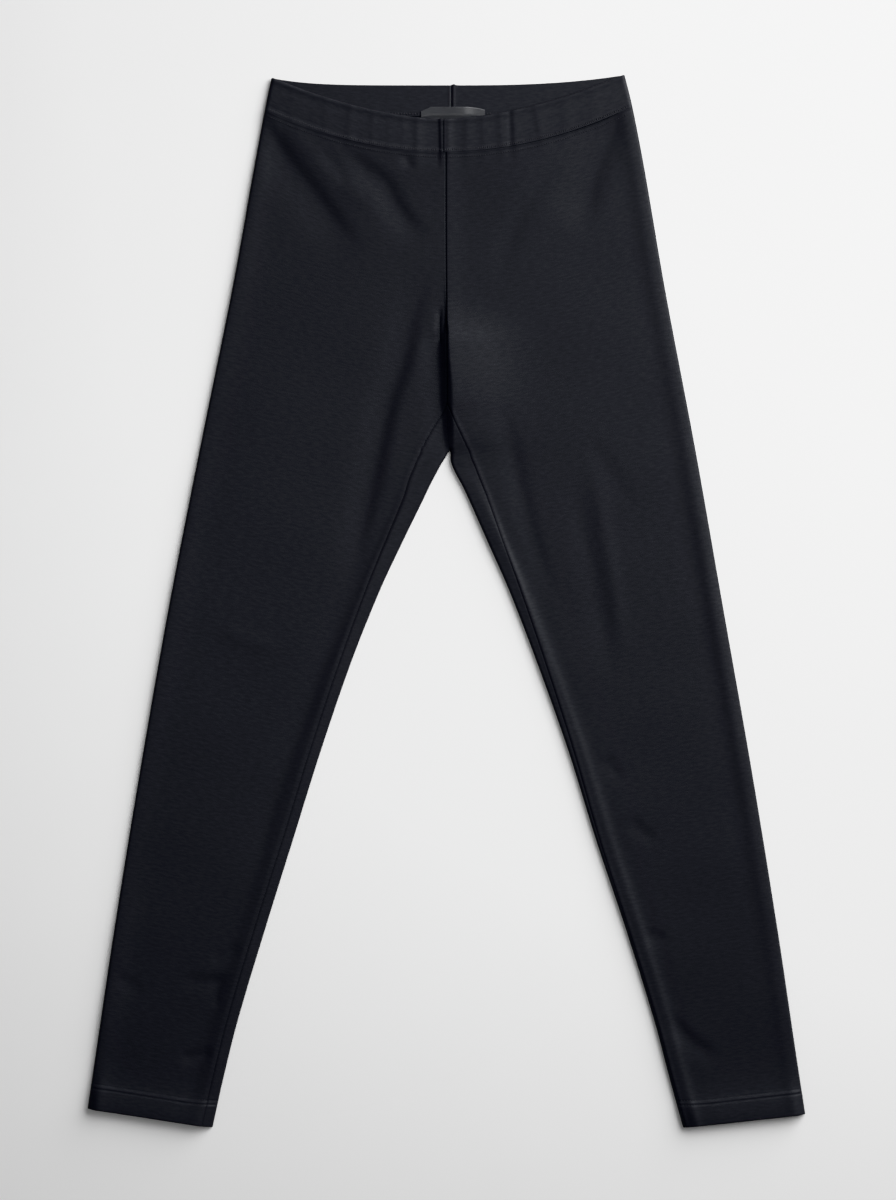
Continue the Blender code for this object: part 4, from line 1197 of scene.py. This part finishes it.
class LEGGINGS_OT_sew_stitches(bpy.types.Operator):
    """Sew the cover stitch along the waistband and the twin-needle stitch along the hems"""

    bl_idname = "leggings.sew_stitches"
    bl_label = "Sew stitches"

    def execute(self, context):
        scene = context.scene
        knit, lay, sewing = scene.leggings_knit, scene.leggings_lay, scene.leggings_sewing
        thread = sewing_thread("spun_polyester_thread", sewing)
        width, pitch, hem_pitch = sewing.thread / MM, sewing.cover_pitch / MM, sewing.hem_pitch / MM
        stitch = HEM_STITCH_LENGTH * hem_pitch
        outward = np.array([0.0, 0.0, 1.0])
        for side in SIDES:
            up = 1.0 if side == "left" else -1.0
            share = np.linspace(0.004, 0.975, 240)[None, :]
            ridge = BandLines(side, BAND_HEIGHT - COVER_ON_BAND, knit, lay).front(share)[0][0]
            outs = np.tile(outward, (len(ridge), 1))
            places = stitches_along(ridge, outs, pitch, COVER_LENGTH, width, up, COVER_SLANT)
            inside = BandLines(side, BAND_HEIGHT - COVER_INSIDE, knit, lay).back(share)[1][0]
            places += stitches_along(inside, outs, INSIDE_PITCH * pitch, INSIDE_LENGTH, width, up,
                                     INSIDE_SLANT)
            lower = LegLines(side, FRONT_SEAM_Y - SEAM_GAP - COVER_ON_LEG, knit, lay)
            inward = np.linspace(1.2, float(lower.width[0, 0]) - 6.0, 240)[None, :]
            row = lower.front(inward, inward)[0][0]
            places += stitches_along(row, outs, ON_LEG_PITCH * pitch, ON_LEG_LENGTH, ROW_THREAD * width)
            stitched = make_stitches(f"cover_stitch_{side}", places, thread)
            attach(stitched, "root")
            places = []
            for above in (0.0, TWIN_NEEDLES):
                line = LegLines(side, HEM_Y + HEM_DEPTH + above, knit, lay)
                first, last = float(line.inset[0, 0]) + 1.0, float(line.width[0, 0]) - 2.5
                inward = np.linspace(first, last, 200)[None, :]
                row = line.front(inward, inward - line.inset)[0][0]
                row[:, 1] += HEM_LINE_RISE * bump(inward[0], HEM_LINE_BEND)
                row[:, 2] -= HEM_STITCH_SINK
                outs = np.tile(outward, (len(row), 1))
                places += stitches_along(row, outs, hem_pitch, stitch, ROW_THREAD * width)
                inward = np.linspace(3.0, float(line.back_width[0, 0]) - 3.0, 120)[None, :]
                row = line.back(inward)[0][0] + HEM_BACK_SINK * outward
                outs = np.tile(-outward, (len(row), 1))
                places += stitches_along(row, outs, hem_pitch, stitch, HEM_BACK_THREAD * width)
            stitched = make_stitches(f"hem_stitch_{side}", places, thread)
            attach(stitched, "root")
        return {"FINISHED"}


class LEGGINGS_OT_set_stage(bpy.types.Operator):
    """Set up the painted table, the two soft lights and the camera that looks straight down"""

    bl_idname = "leggings.set_stage"
    bl_label = "Set stage"

    def execute(self, context):
        scene, stage = context.scene, context.scene.leggings_stage
        half = FLOOR_HALF
        mesh = bpy.data.meshes.new("floor")
        mesh.from_pydata([(-half, -half, 0.0), (half, -half, 0.0), (half, half, 0.0), (-half, half, 0.0)],
                         [], [(0, 1, 2, 3)])
        mesh.materials.append(painted_board("painted_board", stage))
        floor = bpy.data.objects.new("floor", mesh)
        scene.collection.objects.link(floor)

        lamp = bpy.data.lights.new("soft_light", "AREA")
        lamp.shape, lamp.size, lamp.energy = "SQUARE", stage.light_size, stage.light_power
        light = bpy.data.objects.new("soft_light", lamp)
        level = math.cos(stage.light_height)
        light.location = (stage.light_distance * level * math.cos(stage.light_turn),
                          stage.light_distance * level * math.sin(stage.light_turn),
                          stage.light_distance * math.sin(stage.light_height))
        light.rotation_euler = light.location.to_track_quat("Z", "Y").to_euler()
        light.visible_camera = False
        scene.collection.objects.link(light)

        lamp = bpy.data.lights.new("overhead_light", "SPOT")
        lamp.spot_size, lamp.spot_blend = stage.overhead_cone, 1.0
        lamp.shadow_soft_size, lamp.energy = stage.overhead_size, stage.overhead_power
        overhead = bpy.data.objects.new("overhead_light", lamp)
        overhead.location = (*OVERHEAD_PLACE, stage.overhead_height)
        overhead.visible_camera = False
        scene.collection.objects.link(overhead)

        world = bpy.data.worlds.new("room")
        world.use_nodes = True
        world.node_tree.nodes["Background"].inputs["Color"].default_value = (1.0, 1.0, 1.0, 1.0)
        world.node_tree.nodes["Background"].inputs["Strength"].default_value = stage.room_light
        scene.world = world
        scene.view_settings.view_transform = "Khronos PBR Neutral"

        lens = bpy.data.cameras.new("camera")
        lens.lens, lens.sensor_width, lens.sensor_fit = LENS, SENSOR, "AUTO"
        lens.clip_end = FARTHEST
        camera = bpy.data.objects.new("camera", lens)
        camera.location = (*CAMERA_PLACE, stage.camera_height)
        scene.collection.objects.link(camera)
        scene.camera = camera
        return {"FINISHED"}


class VIEW3D_PT_leggings(bpy.types.Panel):
    """The leggings, piece by piece"""

    bl_label = "Leggings"
    bl_space_type = "VIEW_3D"
    bl_region_type = "UI"
    bl_category = "Leggings"

    def draw(self, context):
        scene = context.scene
        for title, settings, operators in (
            ("Cloth", scene.leggings_knit, ("leggings.make_legs", "leggings.make_waistband")),
            ("Lie", scene.leggings_lay, ()),
            ("Sewing", scene.leggings_sewing, ("leggings.make_label", "leggings.sew_stitches")),
            ("Stage", scene.leggings_stage, ("leggings.set_stage",)),
        ):
            box = self.layout.box()
            box.label(text=title)
            for name in settings.__annotations__:
                box.prop(settings, name)
            for operator in operators:
                box.operator(operator)


CLASSES = (
    KnitSettings,
    LaySettings,
    SewingSettings,
    StageSettings,
    LEGGINGS_OT_make_legs,
    LEGGINGS_OT_make_waistband,
    LEGGINGS_OT_make_label,
    LEGGINGS_OT_sew_stitches,
    LEGGINGS_OT_set_stage,
    VIEW3D_PT_leggings,
)
SETTINGS = {
    "leggings_knit": KnitSettings,
    "leggings_lay": LaySettings,
    "leggings_sewing": SewingSettings,
    "leggings_stage": StageSettings,
}


def register():
    for cls in CLASSES:
        bpy.utils.register_class(cls)
    for name, group in SETTINGS.items():
        setattr(bpy.types.Scene, name, PointerProperty(type=group))


def unregister():
    for name in SETTINGS:
        delattr(bpy.types.Scene, name)
    for cls in reversed(CLASSES):
        bpy.utils.unregister_class(cls)


def main():
    register()
    bpy.ops.leggings.make_legs()
    bpy.ops.leggings.make_waistband()
    bpy.ops.leggings.make_label()
    bpy.ops.leggings.sew_stitches()
    bpy.ops.leggings.set_stage()


if __name__ == "__main__":
    main()
